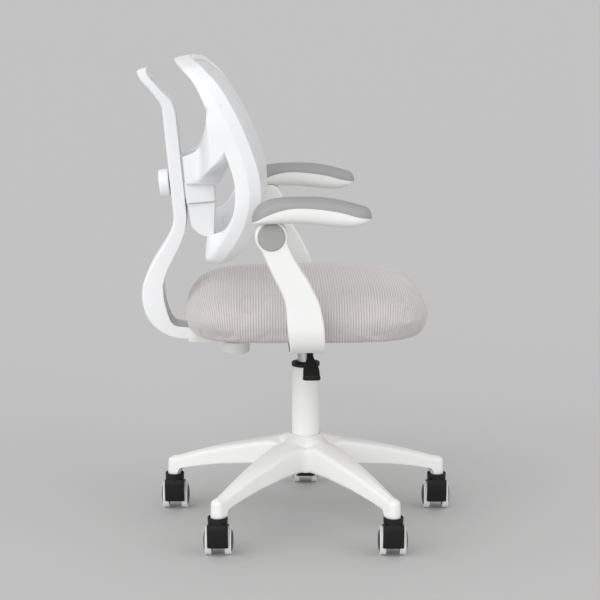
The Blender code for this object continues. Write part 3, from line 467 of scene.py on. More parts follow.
@dataclass
class Wires:
    """Adds nodes to one shader tree and links them."""

    tree: Tree

    def fill(self, node: Node, values: dict) -> Node:
        """Feed a node's inputs, by name or number, each with a value or another node's socket."""
        for name, value in values.items():
            if isinstance(value, bpy.types.NodeSocket):
                self.tree.links.new(value, node.inputs[name])
            else:
                node.inputs[name].default_value = value
        return node

    def node(self, kind: str, values: dict) -> Node:
        """Add a node of a kind and feed its inputs."""
        return self.fill(self.tree.nodes.new(f"ShaderNode{kind}"), values)

    def calc(self, work: str, *values: object) -> Socket:
        """Add one arithmetic node; each operand is a number or a socket."""
        node = self.node("Math", {})
        node.operation = work
        return self.fill(node, dict(enumerate(values))).outputs[0]

    def swing(self, value: Socket, share: object, base: object) -> Socket:
        """Give a base plus a share of the value's distance from a half."""
        return self.calc("MULTIPLY_ADD", self.calc("SUBTRACT", value, 0.5), share, base)

    def wave(self, work: str, value: Socket) -> Socket:
        """Give the sine or cosine of pi times a value."""
        return self.calc(work, self.calc("MULTIPLY", value, math.pi))

    def noise(self, vector: Socket, scale: object, detail: float, rough: float = 0.55) -> Socket:
        """Add a noise texture and give its value."""
        values = {"Vector": vector, "Scale": scale, "Detail": detail, "Roughness": rough}
        return self.node("TexNoise", values).outputs["Fac"]

    def stretched(self, vector: Socket, scale: tuple) -> Socket:
        """Give coordinates with each axis multiplied."""
        return self.node("Mapping", {"Vector": vector, "Scale": scale}).outputs[0]

    def split(self, vector: Socket) -> tuple:
        """Give a vector's three numbers."""
        return tuple(self.node("SeparateXYZ", {0: vector}).outputs)

    def shaded(self, colour: Socket, factor: Socket) -> Socket:
        """Multiply a colour socket by a value socket."""
        node = self.node("VectorMath", {})
        node.operation = "SCALE"
        return self.fill(node, {0: colour, "Scale": factor}).outputs[0]


class FinishShop:
    """Makes each finish once, from shared pattern groups."""

    def __init__(self) -> None:
        """Build the shared pattern groups."""
        self.made: dict = {}
        self.groups = {
            Texture.MOULDED: self.group(Texture.MOULDED, "Grain Mottle Roughness Spread", self.moulded),
            Texture.METAL: self.group(Texture.METAL, "Roughness", self.drawn),
            Texture.PLYWOOD: self.group(Texture.PLYWOOD, "Mottle", self.layered),
            Texture.RIBBED: self.group(Texture.RIBBED, "Across Down", self.ribbed),
            Texture.NETTED: self.group(Texture.NETTED, "Across Up", self.netted),
        }

    @staticmethod
    def group(texture: Texture, numbers: str, pattern: Callable) -> Tree:
        """Make a shader node group.

        Args:
            texture: The pattern that it draws.
            numbers: Names of its number inputs, past the coordinates and the colour.
            pattern: Adds the nodes, from the wires and the group's inputs, and gives the outputs by name.
        Returns:
            The group.
        """
        kinds = {"Vector": "NodeSocketVector", "Colour": "NodeSocketColor"}
        tree = bpy.data.node_groups.new(texture.value, "ShaderNodeTree")
        for label in ("Vector", "Colour", *numbers.split()):
            kind = kinds.get(label, "NodeSocketFloat")
            tree.interface.new_socket(label, in_out="INPUT", socket_type=kind)
        wires = Wires(tree)
        results = pattern(wires, tree.nodes.new("NodeGroupInput").outputs)
        for label in results:
            kind = kinds.get(label, "NodeSocketFloat")
            tree.interface.new_socket(label, in_out="OUTPUT", socket_type=kind)
        wires.fill(tree.nodes.new("NodeGroupOutput"), results)
        return tree

    @staticmethod
    def moulded(wires: Wires, given: dict) -> dict:
        """Moulded grain: fine pebbling, slow mottle of colour and gloss."""
        vector = given["Vector"]
        slow = wires.noise(vector, 11.0, 3.0)
        smear = wires.noise(vector, 60.0, 4.0, 0.65)
        cloud = wires.calc("MULTIPLY_ADD", slow, 0.7, wires.calc("MULTIPLY", smear, 0.3))
        return {
            "Colour": wires.shaded(given["Colour"], wires.swing(cloud, given["Mottle"], 1.0)),
            "Roughness": wires.swing(smear, given["Spread"], given["Roughness"]),
            "Height": wires.noise(vector, given["Grain"], 2.0),
        }

    @staticmethod
    def drawn(wires: Wires, given: dict) -> dict:
        """Drawn metal: streaks round the axis, with faint handling marks."""
        streak = wires.noise(wires.stretched(given["Vector"], (1.0, 1.0, 30.0)), 60.0, 3.0)
        mark = wires.noise(given["Vector"], 45.0, 5.0, 0.7)
        return {
            "Colour": wires.shaded(given["Colour"], wires.swing(mark, 0.25, 1.0)),
            "Roughness": wires.swing(streak, 0.22, given["Roughness"]),
            "Height": streak,
        }

    @staticmethod
    def layered(wires: Wires, given: dict) -> dict:
        """Plywood: long grain on the faces and thin dark layers on the edge."""
        grain = wires.noise(wires.stretched(given["Vector"], (2.0, 26.0, 8.0)), 9.0, 5.0, 0.6)
        level = wires.split(given["Vector"])[2]
        layer = wires.calc("PINGPONG", wires.calc("MULTIPLY", level, 500.0), 1.0)
        both = wires.calc("MULTIPLY_ADD", layer, 0.35, grain)
        factor = wires.calc("MULTIPLY_ADD", wires.calc("SUBTRACT", both, 0.65), given["Mottle"], 1.0)
        return {"Colour": wires.shaded(given["Colour"], factor), "Height": grain}

    @staticmethod
    def ribbed(wires: Wires, given: dict) -> dict:
        """Ribbed knit: rounded ribs along one way, small stitches down each rib, painted shade darkening each
        groove between ribs, and slow and fine random changes of tone.

        Rib height is |sin(pi s)| to a power over the rib count s; stitches are a finer wave down the rib,
        shifted by half a stitch on every other rib.
        """
        vector = given["Vector"]
        across = wires.swing(wires.noise(vector, 26.0, 2.0), 0.35, given["Across"])
        rib = wires.calc("POWER", wires.calc("ABSOLUTE", wires.wave("SINE", across)), 0.7)
        odd = wires.calc("MULTIPLY", wires.calc("FLOOR", across), 0.5)
        stitch = wires.calc("ABSOLUTE", wires.wave("SINE", wires.calc("ADD", given["Down"], odd)))
        # painted shade: the colour darkens from each rib's crest down into the groove
        tone_with_painted_shade = wires.calc("MULTIPLY_ADD", rib, 0.42, 0.68)
        tone_with_painted_shade = wires.swing(wires.noise(vector, 700.0, 2.0), 0.14, tone_with_painted_shade)
        tone_with_painted_shade = wires.swing(wires.noise(vector, 9.0, 3.0), 0.06, tone_with_painted_shade)
        return {
            "Colour": wires.shaded(given["Colour"], tone_with_painted_shade),
            "Roughness": wires.calc("MULTIPLY_ADD", rib, -0.08, 0.94),
            "Height": wires.calc("MULTIPLY_ADD", wires.calc("MULTIPLY", stitch, rib), 0.3, rib),
        }

    @staticmethod
    def netted(wires: Wires, given: dict) -> dict:
        """Open knit: rows of staggered oval holes between crossing yarns, the yarn's colour darkened towards
        each hole as painted shade.

        The hole field is |cos(pi u) cos(pi v)| over stitch counts u and v, open where it passes a limit.
        """
        crossing = [wires.wave("COSINE", given[name]) for name in ("Across", "Up")]
        hole = wires.calc("ABSOLUTE", wires.calc("MULTIPLY", *crossing))
        limits = {"Value": hole, "From Min": 0.56, "From Max": 0.66, "To Min": 1.0, "To Max": 0.0}
        # painted shade: the yarn darkens towards the holes' edges, where its relief dips
        tone_with_painted_shade = wires.calc("MULTIPLY_ADD", hole, -0.2, 1.05)
        tone_with_painted_shade = wires.swing(wires.noise(given["Vector"], 900.0, 2.0), 0.12, tone_with_painted_shade)
        return {
            "Colour": wires.shaded(given["Colour"], tone_with_painted_shade),
            "Alpha": wires.node("MapRange", limits).outputs["Result"],
            "Height": wires.calc("SUBTRACT", 1.0, hole),
        }

    def material(self, look: Look) -> bpy.types.Material:
        """Give a finish as a material, making it on first use."""
        if look not in self.made:
            self.made[look] = self.mixed(FINISHES[look])
        return self.made[look]

    def mixed(self, finish: Finish) -> bpy.types.Material:
        """Make a finish's material: its pattern group feeds the colour, the gloss and the relief.

        The ribbed knit follows the cushion's own rib count, the open knit the sheet's own map.

        Args:
            finish: The finish wanted.
        Returns:
            The material.
        """
        material = bpy.data.materials.new(f"chair_{finish.look.value}")
        material.use_nodes = True
        wires = Wires(material.node_tree)
        place = wires.node("TexCoord", {}).outputs
        pattern = wires.node("Group", {})
        pattern.node_tree = self.groups[finish.texture]
        values = {"Vector": place["Object"], "Colour": (*finish.colour, 1.0), "Grain": finish.grain}
        values |= {"Mottle": finish.mottle, "Roughness": finish.roughness, "Spread": finish.spread}
        if finish.texture is Texture.RIBBED:
            count = wires.node("Attribute", {})
            count.attribute_name = "rib"
            values["Across"], values["Down"], _ = wires.split(count.outputs["Vector"])
        if finish.texture is Texture.NETTED:
            values["Across"], values["Up"], _ = wires.split(place["UV"])
        wires.fill(pattern, {name: value for name, value in values.items() if name in pattern.inputs})
        given = pattern.outputs
        relief = {"Strength": finish.bump, "Distance": finish.depth, "Height": given["Height"]}
        surface = {"Metallic": finish.metallic, "Specular IOR Level": finish.specular}
        surface |= {"Sheen Weight": finish.sheen, "Roughness": finish.roughness}
        surface |= {"Base Color": given["Colour"], "Normal": wires.node("Bump", relief).outputs["Normal"]}
        surface |= {name: given[name] for name in ("Roughness", "Alpha") if name in given}
        wires.fill(material.node_tree.nodes["Principled BSDF"], surface)
        return material


@dataclass
class Bench:
    """What every sub-assembly works with: the loaded frame and the finishes."""

    frame: dict
    shop: FinishShop

    def seat_piece(self, item: Item, body: str, look: Look, *nodes: str) -> Item:
        """Finish a new piece and put it on its body.

        Args:
            item: The piece, in place.
            body: The body that it moves with.
            look: Its finish.
            nodes: Solids of the frame that it stands for.
        Returns:
            The piece.
        """
        item.data.materials.clear()
        item.data.materials.append(self.shop.material(look))
        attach(item, body)
        if nodes:
            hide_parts(*nodes)
        LOG.info("piece %s on %s, %d points", item.name, body, len(item.data.vertices))
        return item

    def keep_solid(self, look: Look, *nodes: str) -> None:
        """Keep solids of the frame as they are, with a better finish."""
        for name in nodes:
            slots = self.frame["nodes"][name].data.materials
            for spot in range(len(slots)):
                slots[spot] = self.shop.material(look)
            if not slots:
                slots.append(self.shop.material(look))
            LOG.info("solid %s kept as %s", name, look.value)


@dataclass
class StarBase:
    """Five-armed base: a moulded shell with a filleted hub, its sockets, the column tube and its bush."""

    crotch: float = math.radians(36.0)
    fillet_reach: float = 0.054
    root_half: float = 0.0265
    tip_radius: float = 0.0116
    bore: float = 0.0254
    hub_reach: float = 0.050
    hub_rows: int = 10
    fillet_steps: int = 12
    tip_points: int = 13
    rim_radius: float = 0.0085
    hub_crown: float = 0.0105
    arm_crown: float = 0.0015
    crotch_crown: float = 0.009
    crotch_fade: float = 0.011
    draft: float = 0.0009
    wall: float = 0.0032
    tube_radius: float = 0.025
    tube_wall: float = 0.0025
    tube_bottom: float = 0.116
    tube_top: float = 0.2948
    rod_hole: float = 0.0053
    plate: float = 0.003

    def rim(self) -> tuple:
        """Draw half an arm's outer edge in plan, from the crotch between two arms to the tip.

        A quadratic curve turns from square to the crotch's line into the arm's side, the side tapers on the
        stations' half widths, and a quarter circle closes the tip.

        Returns:
            Points along the edge and their unit normals towards the arm's inside.
        """
        ray = np.array([math.cos(self.crotch), math.sin(self.crotch)])
        square = np.array([math.sin(self.crotch), -math.cos(self.crotch)])
        start = self.fillet_reach * ray
        stations = mm([(64, 26.2), (100, 24.2), (160, 19), (207, 14.6), (238, 12.2)])
        stations = np.vstack([stations, [(CASTER_CIRCLE - 0.004, self.tip_radius)]])
        knee = start + (start[1] - self.root_half) / math.cos(self.crotch) * square
        t = np.linspace(0.0, 1.0, self.fillet_steps + 1)[:-1, None]
        fillet = bend(start, knee, stations[0], t)
        side = flat_spline(stations, 40)
        turn = np.radians(np.linspace(90.0, 0.0, self.tip_points))
        tip = self.tip_radius * np.stack([np.cos(turn), np.sin(turn)], axis=1) + [CASTER_CIRCLE, 0.0]
        line = np.vstack([fillet, side[:-1], tip])
        along = np.gradient(line, axis=0)
        along[0] = square
        along[-1] = [0.0, -1.0]
        along = unit(along)
        return line, np.stack([along[:, 1], -along[:, 0]], axis=1)

    def ridge_reach(self, line: np.ndarray) -> np.ndarray:
        """Give the reach along the arm's ridge that each row of the top starts from.

        Rows of the hub are evenly spread; past them the reach follows the edge's own, eased at both ends.

        Args:
            line: The arm's edge in plan.
        Returns:
            One reach for each row.
        """
        walk, tip = arc(line), -self.tip_points
        hub = np.linspace(self.bore, self.hub_reach, self.hub_rows, endpoint=False)
        ends = [0.0, 0.024, walk[tip - 1], walk[-1]]
        reach = np.interp(walk, ends, [self.hub_reach, 0.064, 0.2545, 0.2600])
        least = np.interp(line[:tip, 0], [0.05, 0.09], [self.hub_reach, 0.09])
        reach[:tip] = np.maximum(reach[:tip], least)
        plain = slice(self.fillet_steps + 2, tip)
        reach[plain] = line[plain, 0]
        return np.concatenate([hub, reach])

    def half_arm(self) -> Patch:
        """Make half of one arm's outer shell, lying along X.

        The top is a grid from the arm's ridge to its edge, z = ridge(s) - crown t^2; the side is a grid from
        the edge over a quarter round of the rim radius and down to the lower edge, with a slight draft.

        Returns:
            The open half shell.
        """
        line, inward = self.rim()
        away = self.ridge_reach(line)
        ridge = [(25, 169.2), (28, 169.6), (32, 168.4), (46, 163.6), (100, 150), (160, 135), (207, 121)]
        ridge += [(238, 110.5), (250, 106.5), (258, 105.2), (272, 105)]
        ridge = flat_spline(mm(ridge), 160)
        inner = line + inward * self.rim_radius
        hub = np.linspace(self.bore, np.linalg.norm(inner[0]), self.hub_rows, endpoint=False)
        edge = np.vstack([hub[:, None] * np.array([math.cos(self.crotch), math.sin(self.crotch)]), inner])
        part = np.arange(self.hub_rows) / self.hub_rows
        fade = self.crotch_crown * np.exp(-arc(line) / self.crotch_fade)
        crown = np.concatenate([self.hub_crown * part**1.6, self.arm_crown + fade])
        t = np.linspace(0.0, 1.0, 13)[None, :]
        axis = np.stack([away, np.zeros(len(away))], axis=1)
        flat = axis[:, None] * (1 - t[..., None]) + edge[:, None] * t[..., None]
        turn = self.crotch * t
        far = away[:, None] * (1 - t) + np.linalg.norm(edge, axis=1)[:, None] * t
        polar = np.stack([far * np.cos(turn), far * np.sin(turn)], axis=-1)
        share = np.concatenate([part**2, np.ones(len(line))])[:, None, None]
        plan = polar * (1 - share) + flat * share
        level = np.interp(away, ridge[:, 0], ridge[:, 1])[:, None] - crown[:, None] * t**2
        top = np.concatenate([plan, level[..., None]], axis=-1)

        low = [(43, 108), (52, 110), (100, 109), (160, 102), (207, 93), (236, 86.2), (243.5, 84), (247, 72)]
        low = mm(low + [(250, 70.5)])
        bottom = np.interp(line[:, 0], low[:, 0], low[:, 1])[:, None]
        turn = np.radians(np.linspace(0.0, 90.0, 7))[None, :]
        rounded = line[:, None] + inward[:, None] * (self.rim_radius * (1 - np.sin(turn)))[..., None]
        round_level = level[self.hub_rows :, -1:] - self.rim_radius * (1 - np.cos(turn))
        fall = np.linspace(0.0, 1.0, 9)[None, 1:]
        start = round_level[:, -1:]
        wall = line[:, None] - inward[:, None] * (self.draft * fall)[..., None]
        wall_level = start + (bottom - start) * fall
        plan = np.concatenate([rounded, wall], axis=1)
        level = np.concatenate([round_level, wall_level], axis=1)
        side = np.concatenate([plan, level[..., None]], axis=-1)
        return skin(top, wrap_cols=False, capped=False) + skin(side, wrap_cols=False, capped=False)

    def star(self) -> Item:
        """Put ten half arms together and give the shell its wall."""
        half = self.half_arm()
        arm = half + half.scaled((1.0, -1.0, 1.0))
        arms = [arm.moved(Matrix.Rotation(spoke(i), 4, "Z")) for i in range(ARMS)]
        item = make_object("base_star", sum(arms[1:], arms[0]).moved(BASE), 40.0)
        face_up(item)
        wall = item.modifiers.new("wall", "SOLIDIFY")
        wall.thickness = self.wall
        wall.offset = -1.0
        return item

    def sockets(self) -> Item:
        """Make the five caster bosses and the hub's inner sleeve."""
        rim = soften(mm([(10.6, 97), (11.2, 72), (10.5, 70.5), (5.9, 70.5)]), 0.0008, 3, False)
        boss = lathe(np.vstack([mm([(5.9, 97)]), rim]), 40, closed=True)
        sleeve = [(25.35, 166), (25.35, 108), (38, 108), (39, 110), (33, 150), (31, 163)]
        bosses = [boss.moved(caster_place(i)) for i in range(ARMS)]
        return make_object("base_sockets", sum(bosses, lathe(mm(sleeve), 60, closed=True)).moved(BASE))

    def tube(self) -> Item:
        """Turn the column tube."""
        r, top, low = self.tube_radius, self.tube_top, self.tube_bottom
        hole, inside, floor = self.rod_hole, r - self.tube_wall, low + self.plate
        line = [(r, top), (r, low), (hole, low), (hole, floor), (inside, floor), (inside, top)]
        return make_object("column", lathe(soften(np.array(line), 0.0006, 3), 96, closed=True).moved(BASE))

    def bush(self) -> Item:
        """Turn the dark bush on top of the column, with a guide ring round the cylinder."""
        line = [(25.4, 301.3), (25.5, 295.0), (22.2, 295.0), (22.2, 250.0), (14.85, 250.0), (14.85, 303.4)]
        line += [(19.4, 303.4), (20.4, 300.6), (23.2, 300.6), (23.6, 301.3)]
        return make_object("column_guide", lathe(soften(mm(line), 0.0009, 3), 96, closed=True).moved(BASE))

    def build(self, bench: Bench) -> None:
        """Make and seat the base's pieces."""
        bench.seat_piece(self.star(), "base", Look.BASE_WHITE, "star_base")
        bench.seat_piece(self.sockets(), "base", Look.BASE_WHITE)
        bench.seat_piece(self.tube(), "base", Look.BASE_WHITE, "column_tube")
        bench.seat_piece(self.bush(), "base", Look.DARK, "column_bush")
        bench.keep_solid(Look.STEEL, "thrust_bearing")


@dataclass
class Casters:
    """Five twin-wheel casters: hood, collar, wheels and their caps."""

    trail: float = 0.020
    radius: float = 0.025
    hood_half: float = 0.0182
    hood_wall: float = 0.0016
    hood_bow: float = 0.0016

    def on_axle(self, turn: float) -> Matrix:
        """Give the frame on the axle, Z turned from upright onto the axle by an angle."""
        return Matrix.Translation((0.0, self.trail, self.radius)) @ Matrix.Rotation(turn, 4, "Y")

    def hood(self) -> Patch:
        """Make one hood about its stem axis, trailing along Y.

        The cover is a side profile carried across X, drawn in along its normal by 1.6 mm (|x| / half)^5, as
        an outer and an inner skin joined along their rims; the collar and the inner boss are turned.

        Returns:
            The hood.
        """
        rows = [(44.9, 38.6), (42.3, 43.2), (37, 48.4), (30, 52.3), (20, 54.8), (8, 57.8), (-3, 60.8)]
        rows += [(-12, 62.6), (-16.2, 61.6), (-17.4, 57), (-17.3, 46), (-15, 34), (-12, 25), (-9.6, 18.5)]
        line = flat_spline(mm(rows), 60)
        along = unit(np.gradient(line, axis=0))
        inward = np.stack([-along[:, 1], along[:, 0]], axis=1)[:, None]
        share = np.linspace(-1.0, 1.0, 25)
        bow = (self.hood_bow * np.abs(share) ** 5)[None, :, None]
        across = np.repeat(share[None, :, None] * self.hood_half, len(line), axis=0)
        outer = np.concatenate([across, line[:, None] + inward * bow], axis=-1)
        inside = np.concatenate([across * 0.97, line[:, None] + inward * (bow + self.hood_wall)], axis=-1)
        whole = skin(np.concatenate([outer, inside[:, ::-1]], axis=1))
        collar = [(5.9, 69.9), (15.6, 69.9), (15.9, 73.0), (17.0, 73.0), (17.5, 72.2), (17.3, 63.0)]
        collar += [(16.4, 50.0), (5.9, 48.0)]
        whole = whole + lathe(soften(mm(collar), 0.0007, 3), 48, closed=True)
        for reach, half, sides in ((13, 1.6, 48), (9.5, 10.5, 40)):
            ring = soften(mm([(3.3, -half), (reach, -half), (reach, half), (3.3, half)]), 0.0005, 2)
            whole = whole + lathe(ring, sides, closed=True).moved(self.on_axle(math.pi / 2.0))
        return whole

    def wheel(self) -> Patch:
        """Turn one wheel about Z, its inner face below."""
        line = [(3.3, 11.5), (20.5, 11.5), (24.6, 11.9), (25.0, 12.7), (25.0, 21.3), (24.4, 22.4)]
        line += [(22.2, 22.9), (20.6, 22.3), (20.2, 20.6), (3.3, 20.6)]
        return lathe(soften(mm(line), 0.0006, 3), 72, closed=True)

    def cap(self) -> Patch:
        """Turn one wheel's domed cap, and a thin dark disc on its inner face that paints the shade of the gap
        between the twin wheels.
        """
        bow = flat_spline(mm([(0, 26.2), (6, 26.0), (12, 25.3), (16.5, 24.2), (19.2, 23.0)]), 12)
        dome = np.vstack([bow, mm([(20.0, 22.0), (20.0, 20.8), (0, 20.8)])])
        # painted shade: this thin dark disc on the wheel's inner face stands for the shade in the gap between
        # the twin wheels
        plate = mm([(3.4, 11.2), (19.5, 11.2), (20.0, 11.45), (3.4, 11.45)])
        return lathe(dome, 60) + lathe(plate, 48, closed=True)

    def build(self, bench: Bench) -> None:
        """Make and seat the five casters."""
        hood, wheel, cap = self.hood(), self.wheel(), self.cap()
        for i in range(ARMS):
            stem = BASE @ caster_place(i)
            n = i + 1
            cover = make_object(f"hood_{n}", hood.moved(stem))
            bench.seat_piece(cover, f"caster_{n}", Look.DARK, f"caster_hood_{n}")
            for side, turn in (("left", -math.pi / 2.0), ("right", math.pi / 2.0)):
                axle = stem @ self.on_axle(turn)
                body = f"wheel_{n}_{side}"
                tread = make_object(body, wheel.moved(axle))
                bench.seat_piece(tread, body, Look.WHEEL, f"caster_wheel_{n}_{side}")
                # the dark cap piece also carries the disc of painted shade on the wheel's inner face
                disc = make_object(f"wheel_cap_{n}_{side}", cap.moved(axle))
                bench.seat_piece(disc, body, Look.CAP_DARK)
            bench.keep_solid(Look.STEEL, f"caster_stem_{n}", f"caster_axle_{n}")


@dataclass
class Lift:
    """Gas lift and its lever."""

    radius: float = 0.0145
    top: float = 0.343
    foot: float = 0.1275
    pin_hole: float = 0.0033
    pin_depth: float = 0.026
    rod_hole: float = 0.0056
    rod_depth: float = 0.02
    hinge: tuple = (0.003, -0.030, 0.356)

    def cylinder(self) -> Item:
        """Turn the pressure cylinder, with a hole for the valve pin above and one for the rod below."""
        sunk, raised = self.top - self.pin_depth, self.foot + self.rod_depth
        line = [(0.0, sunk), (self.pin_hole, sunk), (self.pin_hole, self.top), (self.radius, self.top)]
        line += [(self.radius, self.foot), (self.rod_hole, self.foot), (self.rod_hole, raised), (0.0, raised)]
        turned = lathe(soften(np.array(line), 0.0015, 4, False), 72)
        return make_object("lift_cylinder", turned.moved(COLUMN))

    def lever(self) -> Item:
        """Loft the lever: rounded sections on a line that drops from the hinge to the paddle.

        Sections are |a|^4 + |b|^4 = 1 across the half width and half thickness of each station.

        Returns:
            The lever.
        """
        rows = [(0, 35, 0, 5, 4), (0, 18, 0, 5, 4), (0, 0, 0, 5, 4), (0, -38, 0, 5, 4), (0, -49, -3, 5, 4)]
        rows += [(0.2, -62, -9.5, 5.1, 4), (0.7, -73, -15.6, 5.2, 4), (1.2, -85, -22.2, 5.8, 4.1)]
        rows += [(1.8, -98, -29.4, 8.8, 4.3), (2.2, -110, -36, 12.9, 4.5), (2.4, -120, -41.5, 14.3, 4.6)]
        rows += [(2.5, -130, -47, 14.5, 4.6), (2.5, -135.4, -50, 14.3, 4.2), (2.5, -136.4, -50.5, 12.6, 2.6)]
        path = spline(mm(rows), 72)
        along = np.gradient(path[:, :3], axis=0)
        along[:, 0] = 0.0
        along = unit(along)
        up = np.stack([0 * along[:, 0], along[:, 2], -along[:, 1]], axis=1)[:, None]
        a, b = boxy(np.linspace(0.0, 2.0 * math.pi, 33)[:-1])
        wide, thick = (path[:, 3:4] * a)[..., None], (path[:, 4:5] * b)[..., None]
        grid = path[:, None, :3] + wide * X_AXIS + thick * up
        return make_object("lever", skin(grid + np.array(self.hinge)).moved(COLUMN), 50.0)

    def build(self, bench: Bench) -> None:
        """Make and seat the lift's pieces."""
        bench.seat_piece(self.cylinder(), "seat", Look.CYLINDER, "gas_cylinder")
        bench.seat_piece(self.lever(), "lever", Look.DARK, "lift_lever")
        bench.keep_solid(Look.STEEL, "piston_rod", "retaining_clip", "valve_pin", "lever_pin")


@dataclass
class Seat:
    """Cushion, board, seat plate, channel for the back bar and its knob."""

    middle_x: float = -0.0005
    long: float = 0.440
    wide: float = 0.430
    bottom: float = 0.3738
    start: float = 1.003
    lift: float = 0.0845
    hem: float = 0.0007
    hem_ring: float = 0.76
    hem_wide: float = 0.04
    hem_high: float = 0.004
    hem_fade: float = 0.003
    voxel: float = 0.005
    pressure: float = 4.0
    frames: int = 20
    held: float = 0.0035
    most: float = 0.008
    shoulder: float = 0.070
    rib: float = 0.0047
    stitch: float = 0.0030
    knob_x: float = -0.125

    def rings(self, share: np.ndarray, level: np.ndarray, sides: int) -> Patch:
        """Draw level rings of the outline |x/a|^4 + |y/b|^4 = s^4.

        Args:
            share: Column of each ring's share s of the seat's outline.
            level: Column of each ring's height.
            sides: Points round each ring.
        Returns:
            The closed form.
        """
        a, b = boxy(np.linspace(0.0, 2.0 * math.pi, sides + 1)[None, :-1])
        x = self.middle_x + 0.5 * self.long * share * a
        y = 0.5 * self.wide * share * b
        return skin(np.stack([x, y, level + 0 * a], axis=-1)).moved(COLUMN)

    def form(self) -> Patch:
        """Draw the cushion's starting form: drawn in below, widest low, crowned above."""
        levels = [(0.02, 0), (0.5, 0), (0.80, 0), (0.86, 0.6), (0.925, 4), (0.965, 11.5), (0.99, 22)]
        levels += [(1.0, 33), (0.99, 49), (0.955, 64.5), (0.89, 76.5), (0.79, 85.5), (0.62, 93.5)]
        levels += [(0.40, 98.5), (0.16, 101), (0.02, 101.4)]
        reach, height = 0.22, 0.1015
        line = flat_spline(np.array([(share * reach, rise / 1000.0) for share, rise in levels]), 84)
        share = (line[:, :1] / reach) * self.start
        return self.rings(share, self.bottom + line[:, 1:2] * self.lift / height, 160)

    def board(self) -> Patch:
        """Make the board that shows inside the hem."""
        share = np.array([0.02, 0.77, 0.775, 0.775, 0.77, 0.02])[:, None]
        return self.rings(share, mm([373.5, 373.5, 373.7, 374.6, 374.8, 374.8])[:, None], 120)

    def cushion(self) -> Item:
        """Make the cushion: the form remeshed, puffed out by cloth pressure, hem turned, ribs counted."""
        item = make_object("cushion", self.form(), 180.0)
        step = item.modifiers.new("even", "REMESH")
        step.mode = "VOXEL"
        step.voxel_size = self.voxel
        settle(item)
        self.puff(item)
        self.turn_hem(item)
        self.count_ribs(item)
        item.data.shade_smooth()
        smooth = item.modifiers.new("smooth", "SUBSURF")
        smooth.levels = 1
        smooth.render_levels = 1
        return item

    def puff(self, item: Item) -> None:
        """Swell the cushion with cloth pressure, its underside held and no point moving past the cap."""
        before = get_points(item)
        held = item.vertex_groups.new(name="held")
        held.add(np.flatnonzero(before[:, 2] < self.bottom + self.held).tolist(), 1.0, "REPLACE")
        step = item.modifiers.new("puff", "CLOTH")
        step.settings.use_pressure = True
        step.settings.uniform_pressure_force = self.pressure
        step.settings.vertex_group_mass = "held"
        step.settings.effector_weights.gravity = 0.0
        step.point_cache.frame_start = 1
        step.point_cache.frame_end = self.frames
        scene = bpy.context.scene
        for number in range(1, self.frames + 1):
            scene.frame_set(number)
        move = get_points(item.evaluated_get(bpy.context.evaluated_depsgraph_get())) - before
        far = np.maximum(np.linalg.norm(move, axis=1, keepdims=True), 1e-9)
        move *= np.minimum(1.0, self.most / far)
        item.modifiers.clear()
        item.vertex_groups.clear()
        scene.frame_set(1)
        put_points(item, before + move)
        LOG.info("cushion puffed by up to %.1f mm", 1000.0 * np.linalg.norm(move, axis=1).max())

    def turn_hem(self, item: Item) -> None:
        """Lower the turned-under edge round the board, by a smooth step in s = (|x/a|^4 + |y/b|^4)^(1/4)."""
        place = get_points(item)
        x = (place[:, 0] - self.middle_x - COLUMN_X) / (0.5 * self.long)
        ring = (x**4 + (place[:, 1] / (0.5 * self.wide)) ** 4) ** 0.25
        low = np.clip((self.bottom + self.hem_high - place[:, 2]) / self.hem_fade, 0.0, 1.0)
        step = np.clip((ring - self.hem_ring) / self.hem_wide, 0.0, 1.0) * low
        place[:, 2] -= self.hem * step * step * (3.0 - 2.0 * step)
        put_points(item, place)

    def count_ribs(self, item: Item) -> None:
        """Write each point's rib and stitch count.

        Ribs count x on the top and the sides; towards the front and back faces they count the drop below the
        shoulder as well, weighted by cx^6 / (cx^6 + cy^6), so that they wrap round the ends.

        Args:
            item: The cushion.
        """
        place = get_points(item)
        x = place[:, 0] - self.middle_x - COLUMN_X
        cx = (np.abs(x) / (0.5 * self.long)) ** 6
        cy = (np.abs(place[:, 1]) / (0.5 * self.wide)) ** 6
        end = cx / (cx + cy + 1e-4)
        drop = np.maximum(0.0, self.bottom + self.shoulder - place[:, 2])
        across = x + np.sign(x) * end * drop
        down = np.abs(place[:, 1]) + drop
        count = np.stack([across / self.rib, down / self.stitch, 0 * x], axis=1)
        layer = item.data.attributes.new("rib", "FLOAT_VECTOR", "POINT")
        layer.data.foreach_set("vector", count.ravel())

    def knob(self) -> Item:
        """Turn the clamping knob under the channel."""
        line = [(0, 349), (6, 349), (6, 340.8), (23.6, 340.8), (24.5, 338.9), (24.4, 324.4), (21.5, 319.3)]
        line = soften(mm(line + [(0, 319.1)]), mm([0, 0.4, 0.4, 1.2, 1.2, 3.0, 3.0, 0]), 5, False)
        place = Matrix.Translation((COLUMN_X + self.knob_x, 0.0, 0.0))
        return make_object("seat_clamp_knob", lathe(line, 72).moved(place))

    def build(self, bench: Bench) -> None:
        """Make and seat the seat's pieces."""
        cushion = bench.seat_piece(self.cushion(), "seat", Look.CLOTH, "seat_cushion")
        nodes = bench.frame["nodes"]
        channel = bevel(merged_copy("bar_channel", nodes["back_bracket"]), 0.0008)
        bench.seat_piece(channel, "seat", Look.ENAMEL, "back_bracket")
        bench.seat_piece(self.knob(), "seat_knob", Look.ENAMEL, "depth_knob")
        plate = bevel(merged_copy("seat_tray", nodes["seat_plate"]), 0.0006)
        bench.seat_piece(plate, "seat", Look.COATED, "seat_plate")
        bench.seat_piece(make_object("seat_underboard", self.board()), "seat", Look.PLY, "seat_board")


